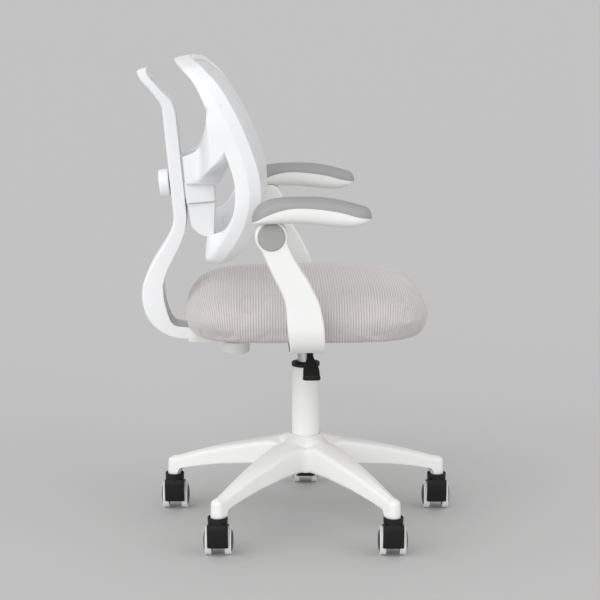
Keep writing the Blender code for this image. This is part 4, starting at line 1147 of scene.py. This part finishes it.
@dataclass
class Back:
    """Curved channel bar, frame with its wings and hub, carrier, hoop, mesh and height knob."""

    knob_x: float = -0.2397
    knob_z: float = 0.628
    lean: float = math.radians(-5.41)
    bar_half: float = 0.035
    bar_wall: float = 0.005
    tip_rows: int = 9
    tip_inset: float = 0.0004
    tip_crown: float = 0.0022
    slot_half: float = 0.0066
    slot_up: float = 0.060
    slot_down: float = 0.020
    rail_half: float = 0.010
    rows: int = 240
    shoulder_y: float = 0.165
    wing_inner: float = 0.203
    wing_outer: float = 0.19
    wing_proud: float = 0.00005
    wing_ease: float = 0.004
    upright_y: float = 0.17
    sink_from: float = 0.004
    sink: float = 0.08
    hub_half: float = 0.045
    tongue_half: float = 0.028
    carrier_half: float = 0.038
    hoop: float = 0.0026
    hoop_back: float = 0.0052
    hoop_in: float = 0.0033
    net_back: float = 0.0011
    net_in: float = 0.0005
    bulge: float = 0.014
    mesh_wide: float = 0.0019
    mesh_high: float = 0.0024

    def bar_frame(self) -> Matrix:
        """Give the frame on the bar's rear face at the height knob: Z up the bar, X forward."""
        place = Matrix.Translation((COLUMN_X + self.knob_x, 0.0, self.knob_z))
        return place @ Matrix.Rotation(self.lean, 4, "Y")

    @staticmethod
    def swept(path: np.ndarray, corners: list, radius: np.ndarray, steps: int) -> np.ndarray:
        """Carry a section along a line, its depth along the line's normal and its width along Y.

        Args:
            path: The line's points.
            corners: Pairs of depth and width, each for all points or one for each.
            radius: Rounding of each corner.
            steps: Pieces that each rounding is drawn in.
        Returns:
            Points of the line by points of the section by three.
        """
        along = unit(np.gradient(path[:, :3], axis=0))
        normal = np.stack([along[:, 2], 0 * along[:, 0], -along[:, 0]], axis=1)[:, None]
        section = np.stack([np.stack(np.broadcast_arrays(*pair), axis=-1) for pair in corners], axis=1)
        section = soften(section, radius, steps)
        return path[:, None, :3] + section[..., :1] * normal + section[..., 1:] * Y_AXIS

    def bar_tip(self, path: np.ndarray) -> Patch:
        """Make the solid block in the channel's upper end, with a crowned end face."""
        deep, h = path[:, 3], self.bar_half
        inset = np.where(np.arange(len(path)) < len(path) - 1, self.tip_inset, 0.0)
        block = [(inset, h - inset), (inset, inset - h), (deep - inset, inset - h), (deep - inset, h - inset)]
        tip = self.swept(path, block, mm([4.5, 4.5, 2, 2]), 6)[-self.tip_rows :]
        middle = tip[-1].mean(axis=0)
        ahead = unit(np.gradient(path[:, :3], axis=0))[-1] * self.tip_crown
        crown = ((0.985, 0.8), (0.95, 0.5), (0.88, 0.0))
        over = [middle + (tip[-1] - middle) * s + ahead * math.sqrt(1.0 - k * k) for s, k in crown]
        return skin(np.concatenate([tip, np.stack(over)]))

    def bar_slot(self) -> Patch:
        """Make the stadium that the height knob's slot is cut with."""
        turn = np.radians(np.linspace(0.0, 180.0, 13))
        round_end = self.slot_half * np.stack([np.cos(turn), np.sin(turn)], axis=1)
        stadium = np.vstack([round_end + [0.0, self.slot_up], -round_end - [0.0, self.slot_down]])
        ends = [np.column_stack([np.full(len(stadium), x), stadium]) for x in (-0.006, 0.0105)]
        return skin(np.stack(ends)).moved(self.bar_frame())

    def bar(self) -> Item:
        """Sweep the channel bar, as deep as each station says, cut its slot and close its top."""
        rows = [(-97, 349.3, 22.5), (-125, 349.3, 22.5), (-160, 349.3, 22.5), (-195, 349.3, 22.5)]
        rows += [(-213, 349.4, 22.5), (-227, 350.7, 22.5), (-240, 354, 22.2), (-252, 359.5, 25)]
        rows += [(-264, 367.5, 31), (-277, 381, 36), (-287, 400, 38.5), (-291.5, 424, 38.5), (-290, 448, 37)]
        rows += [(-283, 467, 33), (-273, 488, 30), (-260, 509, 28), (-248, 528, 26), (-239, 546, 24)]
        rows += [(-235.2, 560, 23), (-234.5, 573, 23), (-236, 589, 23), (-239.5, 626, 23), (-244.5, 679, 23)]
        rows += [(-249.5, 731, 23), (-251.4, 751, 22.6), (-253.6, 765, 20), (-261, 777, 16.5)]
        rows += [(-274, 793.5, 14.5), (-289, 810, 15.5), (-293.5, 818, 16.5), (-295.2, 824, 17)]
        path = spline(mm([(x, 0.0, z, d) for x, z, d in rows]), 210)
        deep, h, wall = path[:, 3], self.bar_half, self.bar_wall
        nil = 0 * deep
        corners = [(nil, h), (nil, -h), (deep, -h), (deep, wall - h), (nil + wall, wall - h)]
        corners += [(nil + wall, h - wall), (deep, h - wall), (deep, h)]
        grid = self.swept(path, corners, mm([4.5, 4.5, 1.4, 1.4, 3, 3, 1.4, 1.4]), 5)
        item = make_object("back_bar_shell", skin(grid).moved(COLUMN), 40.0)
        carve(item, self.bar_slot(), 40.0)
        fuse(item, self.bar_tip(path).moved(COLUMN), 40.0)
        return item

    def stations(self) -> np.ndarray:
        """Give the frame's closed centre line with front angle, depth, and shares of crest and foot."""
        half = [(-213.5, 0, 842, 40, 22, 1, 0), (-204.5, 110, 839, 40, 22, 1, 0)]
        half += [(-193, 165, 832, 38, 25, 1, 0), (-171, 196, 811, 33, 33, 0.1, 0)]
        half += [(-145.7, 205, 764.7, 29, 41, 0, 0), (-121, 205, 708, 20, 43, 0, 0)]
        half += [(-103, 205, 645, 6, 43, 0, 0), (-107, 204, 590, -13, 43, 0, 0)]
        half += [(-124, 196, 552, -37, 42, 0, 0.3), (-147, 165, 525, -50, 38, 0, 1)]
        half += [(-157, 110, 520, -56, 36, 0, 0.3), (-159, 0, 518, -58, 36, 0, 0)]
        table = np.array(half, dtype=float)
        mirror = np.array([1.0, -1.0, 1.0, 1.0, 1.0, 1.0, 1.0])
        return spline(np.vstack([table, table[-2:0:-1] * mirror]) / 1000.0, self.rows, looped=True)

    def rail_axes(self) -> tuple:
        """Give the rail's centre line, its outward and forward directions and its half depth."""
        table = self.stations()
        path = table[:, :3]
        angle = np.radians(table[:, 3] * 1000.0)
        along = unit(np.roll(path, -1, axis=0) - np.roll(path, 1, axis=0))
        out = unit(np.cross(np.stack([np.cos(angle), 0 * angle, np.sin(angle)], axis=1), along))
        return path, out, np.cross(along, out), 0.5 * table[:, 4]

    def rail_corners(self) -> tuple:
        """Set the six corners of the rail's section round the ring.

        They are set on each station's forward and outward directions. At the crest and at the two lower bends
        they move, by that station's share, to offsets of their own, a thin wedge above, turning into the
        shoulders with the reach from the middle, and a block below.

        Returns:
            The corners, inner back first, and the shares of crest and foot.
        """
        path, out, front, d = self.rail_axes()
        share = np.clip(self.stations()[:, 5:] * 1000.0, 0.0, 1.0)
        w = self.rail_half
        slope = np.minimum(0.0195, 1.25 * d)
        plain = [(-d, -w), (0 * d, -w), (d, -w), (d, -0.004), (d - slope, w), (-d, w)]
        corner = np.stack([path + a[:, None] * front + b * out for a, b in plain], axis=1)
        middle = mm([(-4, 0, -8), (7, 0, -6), (14.5, 0, 1), (8.5, 0, 10.3), (-16, 0, 5.3), (-17.5, 0, 3.5)])
        shoulder = mm([(-5, -5, -9), (6, -6, -8), (19, -6, 0), (15, -1, 8), (-4, 6, 4.5), (-12, 5, -4)])
        reach = np.clip(np.abs(path[:, 1]) / self.shoulder_y, 0.0, 1.0)[:, None, None]
        crest = middle + (shoulder - middle) * reach
        crest[..., 1] *= np.sign(path[:, 1:2])
        corner += (path[:, None] + crest - corner) * share[:, 0, None, None]
        for spot, move in ((0, (-22.5, 0, 32)), (1, (-2, 0, 22)), (4, (-3, 0, -17)), (5, (-25.5, 0, -13))):
            corner[:, spot] += (path + mm(move) - corner[:, spot]) * share[:, 1, None]
        return corner, share

    def rail(self) -> Patch:
        """Sweep the frame's rail as a closed ring: flat side, broad front chamfer, rounded back."""
        corner, share = self.rail_corners()
        radius = mm([4, 1, 1.6, 1.0, 1.0, 3.0]) + share[:, :1] * mm([0, 0, 0, 0, 0, -2])
        radius = radius + share[:, 1:] * mm([0, 0, 0, 0, 0.6, 6])
        return skin(soften(corner, radius, 5), wrap_rows=True)

    def side_face(self, x: np.ndarray, z: np.ndarray) -> np.ndarray:
        """Give Y on the rail's side face, run on past its rear edge, at points of X and Z.

        Each station's side line starts at q and runs along the forward direction f; the point p lies on the
        line between two stations where (p - q) x f changes sign. From 4 mm inside the rear edge on, it sinks
        by 8 mm in each 100 mm.

        Args:
            x: Places forward.
            z: Heights.
        Returns:
            Y at each point.
        """
        path, out, front, half = self.rail_axes()
        upright = np.flatnonzero(path[:, 1] > self.upright_y)
        q, f = (path + out * self.rail_half)[upright], front[upright]
        miss = (x[..., None] - q[:, 0]) * f[:, 2] - (z[..., None] - q[:, 2]) * f[:, 0]
        i = np.argmax(miss[..., :-1] * miss[..., 1:] <= 0.0, axis=-1)
        one = np.take_along_axis(miss, i[..., None], -1)
        two = np.take_along_axis(miss, i[..., None] + 1, -1)
        t = np.clip(one / (one - two), 0.0, 1.0)
        start = q[i] * (1 - t) + q[i + 1] * t
        run = (x - start[..., 0]) * f[i, 0] + (z - start[..., 2]) * f[i, 2]
        sunk = self.sink * np.maximum(run + half[upright][i] - self.sink_from, 0.0)
        return start[..., 1] + run * f[i, 1] / (f[i, 0] ** 2 + f[i, 2] ** 2) - sunk

    def wing(self, side: float) -> Patch:
        """Loft one wing, a broad beam from the hub round to the rail.

        Each station has a rear upper and a rear lower point, round the hub's corner, along the yoke and on to
        the rail; the front edges are read off their reach. Sections join the four points, corners rounded.
        Outside, no point passes the rail's side face, which the wing runs into and then sinks below.

        Args:
            side: -1 for the near side, 1 for the far side.
        Returns:
            The wing.
        """
        rows = [(-217, 0, 677, -213, 0, 626), (-217, 30, 678, -213, 30, 627)]
        rows += [(-216, 46, 679.5, -212, 46, 628.5), (-211, 53.5, 681.5, -208, 53.5, 630.5)]
        rows += [(-204, 55, 684.5, -202, 55, 633)]
        rows += [(-197, 56, 688.5, -196, 56, 635.5), (-191, 58, 694, -190.5, 58, 637.5)]
        rows += [(-187, 64, 701, -186.5, 64, 640), (-184.5, 76, 706, -184, 76, 642.5)]
        rows += [(-182.5, 100, 711, -182, 100, 647), (-180.5, 130, 717, -180, 130, 651.5)]
        rows += [(-178.3, 160, 724.5, -177.5, 160, 656), (-176.3, 182, 732.5, -174.5, 182, 660.5)]
        rows += [(-174.5, 197, 741, -171, 199, 665.5), (-172.5, 208, 750.5, -166, 210, 672)]
        rows += [(-172, 217, 760, -158, 218, 682), (-171.8, 222, 769.5, -149, 222, 695.5)]
        rows += [(-171, 222, 778, -141, 221, 704), (-162, 220, 785, -131, 219, 712)]
        rows += [(-150, 216, 783, -122, 216, 720)]
        path = spline(mm(rows), 150)
        edge = [(0, -159, 629, -159, 672), (48, -159, 629, -159, 672), (100, -152, 637, -157, 688)]
        edge += [(150, -145, 652, -155, 706), (190, -134, 678, -150, 736), (204, -127, 694, -146, 750)]
        edge = mm(edge + [(217, -120, 710, -136, 760)])
        reach = np.maximum.accumulate(path[:, 1])
        under_x, under_z, over_x, over_z = [np.interp(reach, edge[:, 0], edge[:, k]) for k in range(1, 5)]
        inner = np.minimum(reach, self.wing_inner)
        front = [np.stack([under_x, inner, under_z], axis=-1), np.stack([over_x, inner, over_z], axis=-1)]
        grid = soften(np.stack([path[:, :3], path[:, 3:], *front], axis=1), mm([4.5, 4.5, 3, 3]), 6)
        face = grid[:, 6:7] + (grid[:, 7:8] - grid[:, 6:7]) * np.linspace(0.0, 1.0, 18)[1:-1, None]
        grid = np.concatenate([grid[:, :7], face, grid[:, 7:]], axis=1)
        near = grid[..., 1] > self.wing_outer
        own, limit = grid[near, 1], self.side_face(grid[near, 0], grid[near, 2]) + self.wing_proud
        ease = np.maximum(self.wing_ease - np.abs(own - limit), 0.0)
        grid[near, 1] = np.minimum(own, limit) - ease**2 / (4.0 * self.wing_ease)
        return skin(grid).scaled((1.0, side, 1.0))

    def hub(self) -> Patch:
        """Make the hub block and its tongue in the bar's channel."""
        outline = mm([(26, -36), (77, -36), (77, 24), (30, 24), (30, 2), (26, 0)])
        block = slab(soften(outline, mm([1.5, 3, 3, 3, 1, 1]), 5), -self.hub_half, self.hub_half, 0.0015)
        tongue = soften(mm([(5.6, -28), (30, -28), (30, 46), (5.6, 46)]), 0.0015, 3)
        both = block + slab(tongue, -self.tongue_half, self.tongue_half)
        return both.moved(COLUMN.inverted() @ self.bar_frame())

    def carrier(self) -> Patch:
        """Make the block below the hub that slides in the bar's channel."""
        rows = [(-209, 594.4), (-206, 576), (-202.5, 552), (-188, 538), (-163, 532), (-160, 598.2)]
        outline = soften(mm(rows), mm([1, 3, 5, 6, 5, 1]), 5)
        return slab(outline, -self.carrier_half, self.carrier_half, 0.002)

    def hoop_ring(self) -> Patch:
        """Sweep the round hoop that the mesh is fixed to, just inside the rail's front edge."""
        _, out, front, _ = self.rail_axes()
        middle = self.rail_corners()[0][:, 2] - front * self.hoop_back - out * self.hoop_in
        turn = np.linspace(0.0, 2.0 * math.pi, 13)[:-1]
        ring = self.hoop * (np.cos(turn)[:, None] * front[:, None] + np.sin(turn)[:, None] * out[:, None])
        return skin(middle[:, None] + ring, wrap_rows=True)

    def mesh_grid(self) -> np.ndarray:
        """Draw the stretched mesh as rings from the rim to the middle.

        A ring of share s keeps the rim's outline times s; its depth is the rim's side profile at that height
        plus the bulge times 1 - s^2.

        Returns:
            Rings by points by three.
        """
        _, out, front, _ = self.rail_axes()
        rim = self.rail_corners()[0][:, 2] - front * self.net_back - out * self.net_in
        half = rim[: self.rows // 2 + 1]
        order = np.argsort(half[:, 2])
        middle = 0.5 * (half[0, 2] + half[-1, 2])
        share = np.linspace(1.0, 0.0, 33)[:, None]
        z = middle + (rim[None, :, 2] - middle) * share
        x = np.interp(z, half[order, 2], half[order, 0]) + self.bulge * (1.0 - share**2)
        x[0] = rim[:, 0]
        return np.stack([x, rim[None, :, 1] * share, z], axis=-1)

    def net(self) -> Item:
        """Make the mesh sheet and map it by its own measure, across by Y and up by arc length."""
        grid = self.mesh_grid()
        item = make_object("back_net", skin(grid, capped=False).moved(COLUMN), 180.0)
        place = get_points(item)
        profile = np.vstack([grid[:, 0], grid[::-1, self.rows // 2]])
        profile = profile[np.argsort(profile[:, 2])]
        rise = np.interp(place[:, 2], profile[:, 2], arc(profile))
        corner = np.zeros(len(item.data.loops), dtype=int)
        item.data.loops.foreach_get("vertex_index", corner)
        flat = np.stack([place[:, 1] / self.mesh_wide, rise / self.mesh_high], axis=1)[corner]
        layer = item.data.uv_layers.new(name="UVMap")
        layer.data.foreach_set("uv", flat.ravel())
        return item

    def knob(self) -> Item:
        """Turn the height knob behind the bar."""
        line = [(0, 19.6), (6, 19.6), (6, -2.5), (22.8, -2.6), (24.5, -4.4), (24.4, -17), (21.8, -20.4)]
        line = soften(mm(line + [(0, -20.5)]), mm([0, 0.4, 0.4, 1.4, 1.4, 3.0, 3.0, 0]), 5, False)
        return make_object("height_clamp_knob", lathe(line, 72).moved(self.bar_frame() @ Z_TO_X))

    def build(self, bench: Bench) -> None:
        """Make and seat the back's pieces."""
        bench.seat_piece(self.bar(), "bar", Look.FRAME_WHITE, "back_bar")
        patch = self.rail() + self.wing(-1.0) + self.wing(1.0) + self.hub()
        frame = make_object("back_frame_shell", patch.moved(COLUMN), 40.0)
        bench.seat_piece(frame, "backrest", Look.FRAME_WHITE, "back_frame")
        carrier = make_object("carrier_block", self.carrier().moved(COLUMN))
        bench.seat_piece(carrier, "backrest", Look.FRAME_WHITE, "lower_carrier")
        hoop = make_object("net_hoop", self.hoop_ring().moved(COLUMN))
        bench.seat_piece(hoop, "backrest", Look.FRAME_WHITE, "mesh_hoop")
        net = bench.seat_piece(self.net(), "backrest", Look.NET, "back_mesh")
        bench.seat_piece(self.knob(), "bar_knob", Look.FRAME_WHITE, "height_knob")
        bench.keep_solid(Look.STEEL, "bar_spine", "knob_insert")


@dataclass
class Arm:
    """One flip-up arm: bracket, cap, shell with its tongue, pad."""

    name: str
    side: float
    pivot_x: float = -0.0643
    pivot_z: float = 0.5684
    head: float = 0.027
    strut_outer: float = 0.276
    strut_inner: float = 0.240
    slot: tuple = (0.2505, 0.2625)
    slot_floor: float = 0.5479
    tongue_faces: tuple = (0.2508, 0.2622)
    inner: float = 0.235
    outer: float = 0.301
    corner: float = 0.026
    middle: float = 0.002
    half_long: float = 0.0985
    station_reach: float = 0.0984
    strut_round: float = 0.0055
    hollow_face: float = 0.2385
    hollow_deep: float = 0.0425
    hollow_gap: float = 0.0006
    tongue_radius: float = 0.020

    def strut_table(self) -> np.ndarray:
        """Give the bracket's stations from its foot under the seat, round the bend, up to the round head.

        Returns:
            Rows of left edge and right edge in side view, outer and inner face across, inner face's rise.
        """
        rows = [(-33, 365.5, 25, 365.5, 105, 105, 7.8), (-33, 365.5, 25, 365.5, 160, 160, 7.8)]
        rows += [(-33, 365.6, 25, 365.6, 200, 198, 7.8), (-33, 366.2, 25, 366.2, 229, 214, 9.5)]
        rows += [(-33.5, 370, 25, 370, 250, 224, 11.5), (-34.5, 385, 25, 385, 267, 234.5, 9)]
        rows += [(-37, 406, 24, 405, 275, 239.5, 6), (-39, 428, 22, 425, 276, 240, 0)]
        rows += [(-39.7, 443, 19, 440, 276, 240, 0), (-42, 458, 15, 456, 276, 240, 0)]
        rows += [(-48, 475, 6, 475, 276, 240, 0), (-57, 493, -4, 495, 276, 240, 0)]
        rows += [(-69, 518, -17.5, 516, 276, 240, 0), (-80, 543, -31, 541, 276, 240, 0)]
        left = np.radians(np.array([200, 188, 172, 155, 138, 122, 109, 99, 94]))
        right = np.radians(np.array([-14, -2, 14, 31, 48, 64, 77, 87, 92]))
        head = np.stack([np.cos(left), np.sin(left), np.cos(right), np.sin(right)], axis=1) * self.head
        head += np.array([self.pivot_x, self.pivot_z, self.pivot_x, self.pivot_z])
        faces = np.tile([self.strut_outer, self.strut_inner, 0.0], (len(head), 1))
        return np.vstack([mm(rows), np.column_stack([head, faces])])

    def bracket(self) -> Item:
        """Loft the bracket, each section a rounded quadrilateral, with the slot for the armrest's tongue."""
        table = self.strut_table()
        lead = [0.5 * (table[:, 0] + table[:, 2]), table[:, 4], 0.5 * (table[:, 1] + table[:, 3])]
        path = spline(np.column_stack([*lead, table]), 150)[:, 3:]
        xl, zl, xr, zr, yo, yi, rise = [column[:, None] for column in path.T]
        half_wide = 0.5 * np.hypot(xr - xl, zr - zl)
        half_thick = 0.5 * np.hypot(yo - yi, rise)
        signs = np.array([(-1, -1), (1, -1), (1, 1), (-1, 1)])
        section = soften(signs * np.stack([half_wide, half_thick], axis=-1), self.strut_round, 6)
        a = 0.5 + 0.5 * section[..., 0] / np.maximum(half_wide, 1e-6)
        b = 0.5 + 0.5 * section[..., 1] / half_thick
        x = xl * (1 - a) + xr * a
        z = zl * (1 - a) + zr * a + rise * b
        y = (yo * (1 - b) + yi * b) * self.side
        name = f"arm_strut_{self.name}"
        item = make_object(name, skin(np.stack([x, y, z], axis=-1)).moved(COLUMN), 45.0)
        rear, ahead, floor, top = self.pivot_x - 0.05, self.pivot_x + 0.05, self.slot_floor, 0.62
        slot = np.array([(rear, floor), (ahead, floor), (ahead, top), (rear, top)])
        carve(item, slab(slot, *self.across(self.slot), 1e-5).moved(COLUMN), 45.0)
        return item

    def across(self, faces: tuple) -> list:
        """Give two faces on this arm's side of the chair, the lower Y first."""
        return sorted(self.side * face for face in faces)

    def to_pivot(self, along: float) -> Matrix:
        """Give the frame on the pivot at a distance out along Y, Z pointing outwards."""
        turn = Matrix.Rotation(-self.side * math.pi / 2.0, 4, "X")
        return Matrix.Translation((COLUMN_X + self.pivot_x, self.side * along, self.pivot_z)) @ turn

    def cap(self) -> Item:
        """Turn the grey cap over the pivot."""
        line = mm([(0, 2.6), (21.6, 2.5), (23, 1.2), (23, -1.5), (0, -1.5)])
        turned = lathe(soften(line, mm([0, 1.2, 1.2, 0.2, 0]), 4, False), 72)
        return make_object(f"arm_cap_{self.name}", turned.moved(self.to_pivot(self.strut_outer)))

    def plan_half(self, x: np.ndarray) -> np.ndarray:
        """Give the armrest's half width at each X: straight sides with a quarter round at each end."""
        half = 0.5 * (self.outer - self.inner)
        end = np.clip(self.half_long - np.abs(x - self.middle), 0.0, self.corner)
        return half - self.corner + np.sqrt(np.maximum(0.0, self.corner**2 - (self.corner - end) ** 2))

    def lines(self) -> tuple:
        """Give stations along the armrest with the seam, the pad's top and the shell's underside."""
        seam = [(-97, 593), (-94, 594.5), (-86, 599), (-75, 605), (-50, 614.5), (-34, 618), (-18, 619)]
        seam += [(14, 617), (47, 612), (79, 603.5), (97, 600), (101, 599)]
        top = [(-97, 598), (-95, 605), (-93, 610), (-89, 616), (-83, 622), (-74, 627), (-66, 629.3)]
        top += [(-50, 632), (-17, 633), (11, 633), (48, 628), (65, 624), (81, 619.8), (91, 616.8)]
        top += [(97, 612.5), (99.5, 607), (101, 600)]
        under = [(-97, 591.5), (-80, 590.5), (-37, 591), (-1, 590), (31, 586.3), (52, 584.8), (70, 585.3)]
        under += [(82, 587.8), (91, 591.5), (98, 596.5), (101, 598.3)]
        x = self.middle + self.station_reach * np.sin(np.radians(np.linspace(-90.0, 90.0, 85)))
        curves = [flat_spline(mm(line), 200) for line in (seam, top, under)]
        return (x, *[np.interp(x, curve[:, 0], curve[:, 1]) for curve in curves])

    def half_skin(
        self, foot: np.ndarray, reach: np.ndarray, x: np.ndarray, power: float, wide: float
    ) -> Patch:
        """Make a half-round solid on a flat seam.

        Sections are y = w cos(t)^(2/p), z = seam + h sin(t)^(2/p) for t from 0 to pi, closed along the seam.

        Args:
            foot: Seam height at each station.
            reach: Height above the seam at each station, negative below it.
            x: Stations.
            power: Boxiness p of the section.
            wide: Share of the plan's width.
        Returns:
            The closed solid.
        """
        a, b = boxy(np.radians(np.linspace(0.0, 180.0, 33))[None, :], 2.0 / power)
        half = (self.plan_half(x) * wide)[:, None]
        base = np.linspace(-1.0, 1.0, 11)[None, 1:-1] * half
        y = np.concatenate([half * a, base], axis=1) + 0.5 * (self.inner + self.outer)
        flat = np.repeat(foot[:, None], base.shape[1], axis=1)
        z = np.concatenate([foot[:, None] + reach[:, None] * b, flat], axis=1)
        grid = np.stack([np.repeat(x[:, None], y.shape[1], axis=1), self.side * y, z], axis=-1)
        return skin(grid).moved(COLUMN)

    def shell(self) -> Item:
        """Make the white shell under the pad, hollowed round the bracket's head."""
        x, seam, _, under = self.lines()
        patch = self.half_skin(seam, under - seam, x, 3.0, 1.0)
        item = make_object(f"rest_shell_{self.name}", patch, 40.0)
        radius, deep = self.head + self.hollow_gap, self.hollow_deep
        hollow = lathe(np.array([(0.0, 0.0), (radius, 0.0), (radius, deep), (0.0, deep)]), 72)
        carve(item, hollow.moved(self.to_pivot(self.hollow_face)), 40.0)
        return item

    def tongue(self) -> Item:
        """Make the tongue that turns on the pivot inside the head."""
        turn = np.radians(np.linspace(141.0, 399.0, 33))
        outline = self.tongue_radius * np.stack([np.cos(turn), np.sin(turn)], axis=1)
        outline = np.vstack([outline, mm([(15.5, 33.6), (-15.5, 33.6)])])
        outline = outline + np.array([COLUMN_X + self.pivot_x, self.pivot_z])
        return make_object(f"rest_tongue_{self.name}", slab(outline, *self.across(self.tongue_faces)))

    def pad(self) -> Item:
        """Make the moulded pad."""
        x, seam, top, _ = self.lines()
        patch = self.half_skin(seam + 0.0002, top - seam, x, 2.9, 0.996)
        return make_object(f"rest_pad_{self.name}", patch, 60.0)

    def build(self, bench: Bench) -> None:
        """Make and seat the arm's pieces."""
        n = self.name
        bench.seat_piece(self.bracket(), "seat", Look.ARM_WHITE, f"arm_bracket_{n}")
        bench.seat_piece(self.cap(), "seat", Look.CAP_GREY, f"pivot_cap_{n}")
        bench.seat_piece(self.shell(), f"armrest_{n}", Look.ARM_WHITE, f"armrest_shell_{n}")
        bench.seat_piece(self.tongue(), f"armrest_{n}", Look.ARM_WHITE)
        pad = bench.seat_piece(self.pad(), f"armrest_{n}", Look.PAD, f"armrest_pad_{n}")
        bench.keep_solid(Look.STEEL, f"pivot_pin_{n}", f"bracket_bolt_{n}")


@dataclass
class Studio:
    """Plain pale floor, soft light and the camera."""

    floor_grey: float = 0.56
    sky_grey: float = 0.55
    ambient: float = 0.64
    key: float = 1.45
    fill: float = 0.7
    side: float = 0.45
    lamp_width: float = 60.0

    def floor(self) -> None:
        """Lay a wide round floor."""
        ring = np.concatenate([[0.0], np.geomspace(0.5, 90.0, 12)])
        item = make_object("floor", lathe(np.column_stack([ring, np.zeros(len(ring))]), 96))
        material = bpy.data.materials.new("studio_floor")
        material.use_nodes = True
        grey = (self.floor_grey, self.floor_grey, self.floor_grey, 1.0)
        surface = {"Base Color": grey, "Roughness": 0.8, "Specular IOR Level": 0.1}
        Wires(material.node_tree).fill(material.node_tree.nodes["Principled BSDF"], surface)
        item.data.materials.append(material)
        face_up(item)

    def lamp(self, name: str, strength: float, lean: float, turn: float) -> None:
        """Hang one wide sun lamp.

        Args:
            name: The lamp's name.
            strength: Its strength.
            lean: Degrees that it leans from straight down.
            turn: Degrees that it is turned about Z, 0 shining towards +Y.
        """
        light = bpy.data.lights.new(name, "SUN")
        light.energy = strength
        light.angle = math.radians(self.lamp_width)
        item = bpy.data.objects.new(name, light)
        item.rotation_euler = (math.radians(lean), 0.0, math.radians(turn))
        bpy.context.scene.collection.objects.link(item)

    def sky(self) -> None:
        """Light all round evenly, and show the camera a plain grey beyond the floor."""
        world = bpy.data.worlds.new("studio_sky")
        world.use_nodes = True
        nodes = world.node_tree.nodes
        wires = Wires(world.node_tree)
        back = wires.fill(nodes["Background"], {"Color": (1.0, 1.0, 1.0, 1.0), "Strength": self.ambient})
        seen = wires.node("Background", {"Color": (self.sky_grey, self.sky_grey, self.sky_grey, 1.0)})
        path = wires.node("LightPath", {}).outputs
        direct = wires.calc("MAXIMUM", path["Is Camera Ray"], path["Is Glossy Ray"])
        direct = wires.calc("MAXIMUM", direct, path["Is Transmission Ray"])
        mix = wires.node("MixShader", {"Fac": direct, 1: back.outputs[0], 2: seen.outputs[0]})
        wires.fill(nodes["World Output"], {"Surface": mix.outputs[0]})
        bpy.context.scene.world = world

    def camera(self) -> None:
        """Stand the camera at the side, a little above the arms."""
        lens = bpy.data.cameras.new("camera")
        lens.lens = 112.82
        lens.sensor_width = 36.0
        lens.clip_end = 300.0
        item = bpy.data.objects.new("camera", lens)
        item.location = (-0.0861, -3.326, 1.0128)
        item.rotation_euler = (math.pi / 2.0 - math.radians(10.194), 0.0, -0.0261)
        bpy.context.scene.collection.objects.link(item)
        bpy.context.scene.camera = item

    def build(self) -> None:
        """Set the stage."""
        self.camera()
        self.floor()
        self.sky()
        self.lamp("key", self.key, 66.0, -30.0)
        self.lamp("fill", self.fill, 66.0, 50.0)
        self.lamp("side", self.side, 74.0, -82.0)
        bpy.context.scene.view_settings.view_transform = "Standard"


def main() -> None:
    """Build the chair's sub-assemblies in order, each piece logged with its point count as it is seated."""
    logging.basicConfig(level=logging.INFO, format="%(message)s")
    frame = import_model()
    bench = Bench(frame, FinishShop())
    Studio().build()
    StarBase().build(bench)
    Casters().build(bench)
    Lift().build(bench)
    Seat().build(bench)
    Back().build(bench)
    for name, side in (("right", -1.0), ("left", 1.0)):
        Arm(name, side).build(bench)


if __name__ == "__main__":
    main()
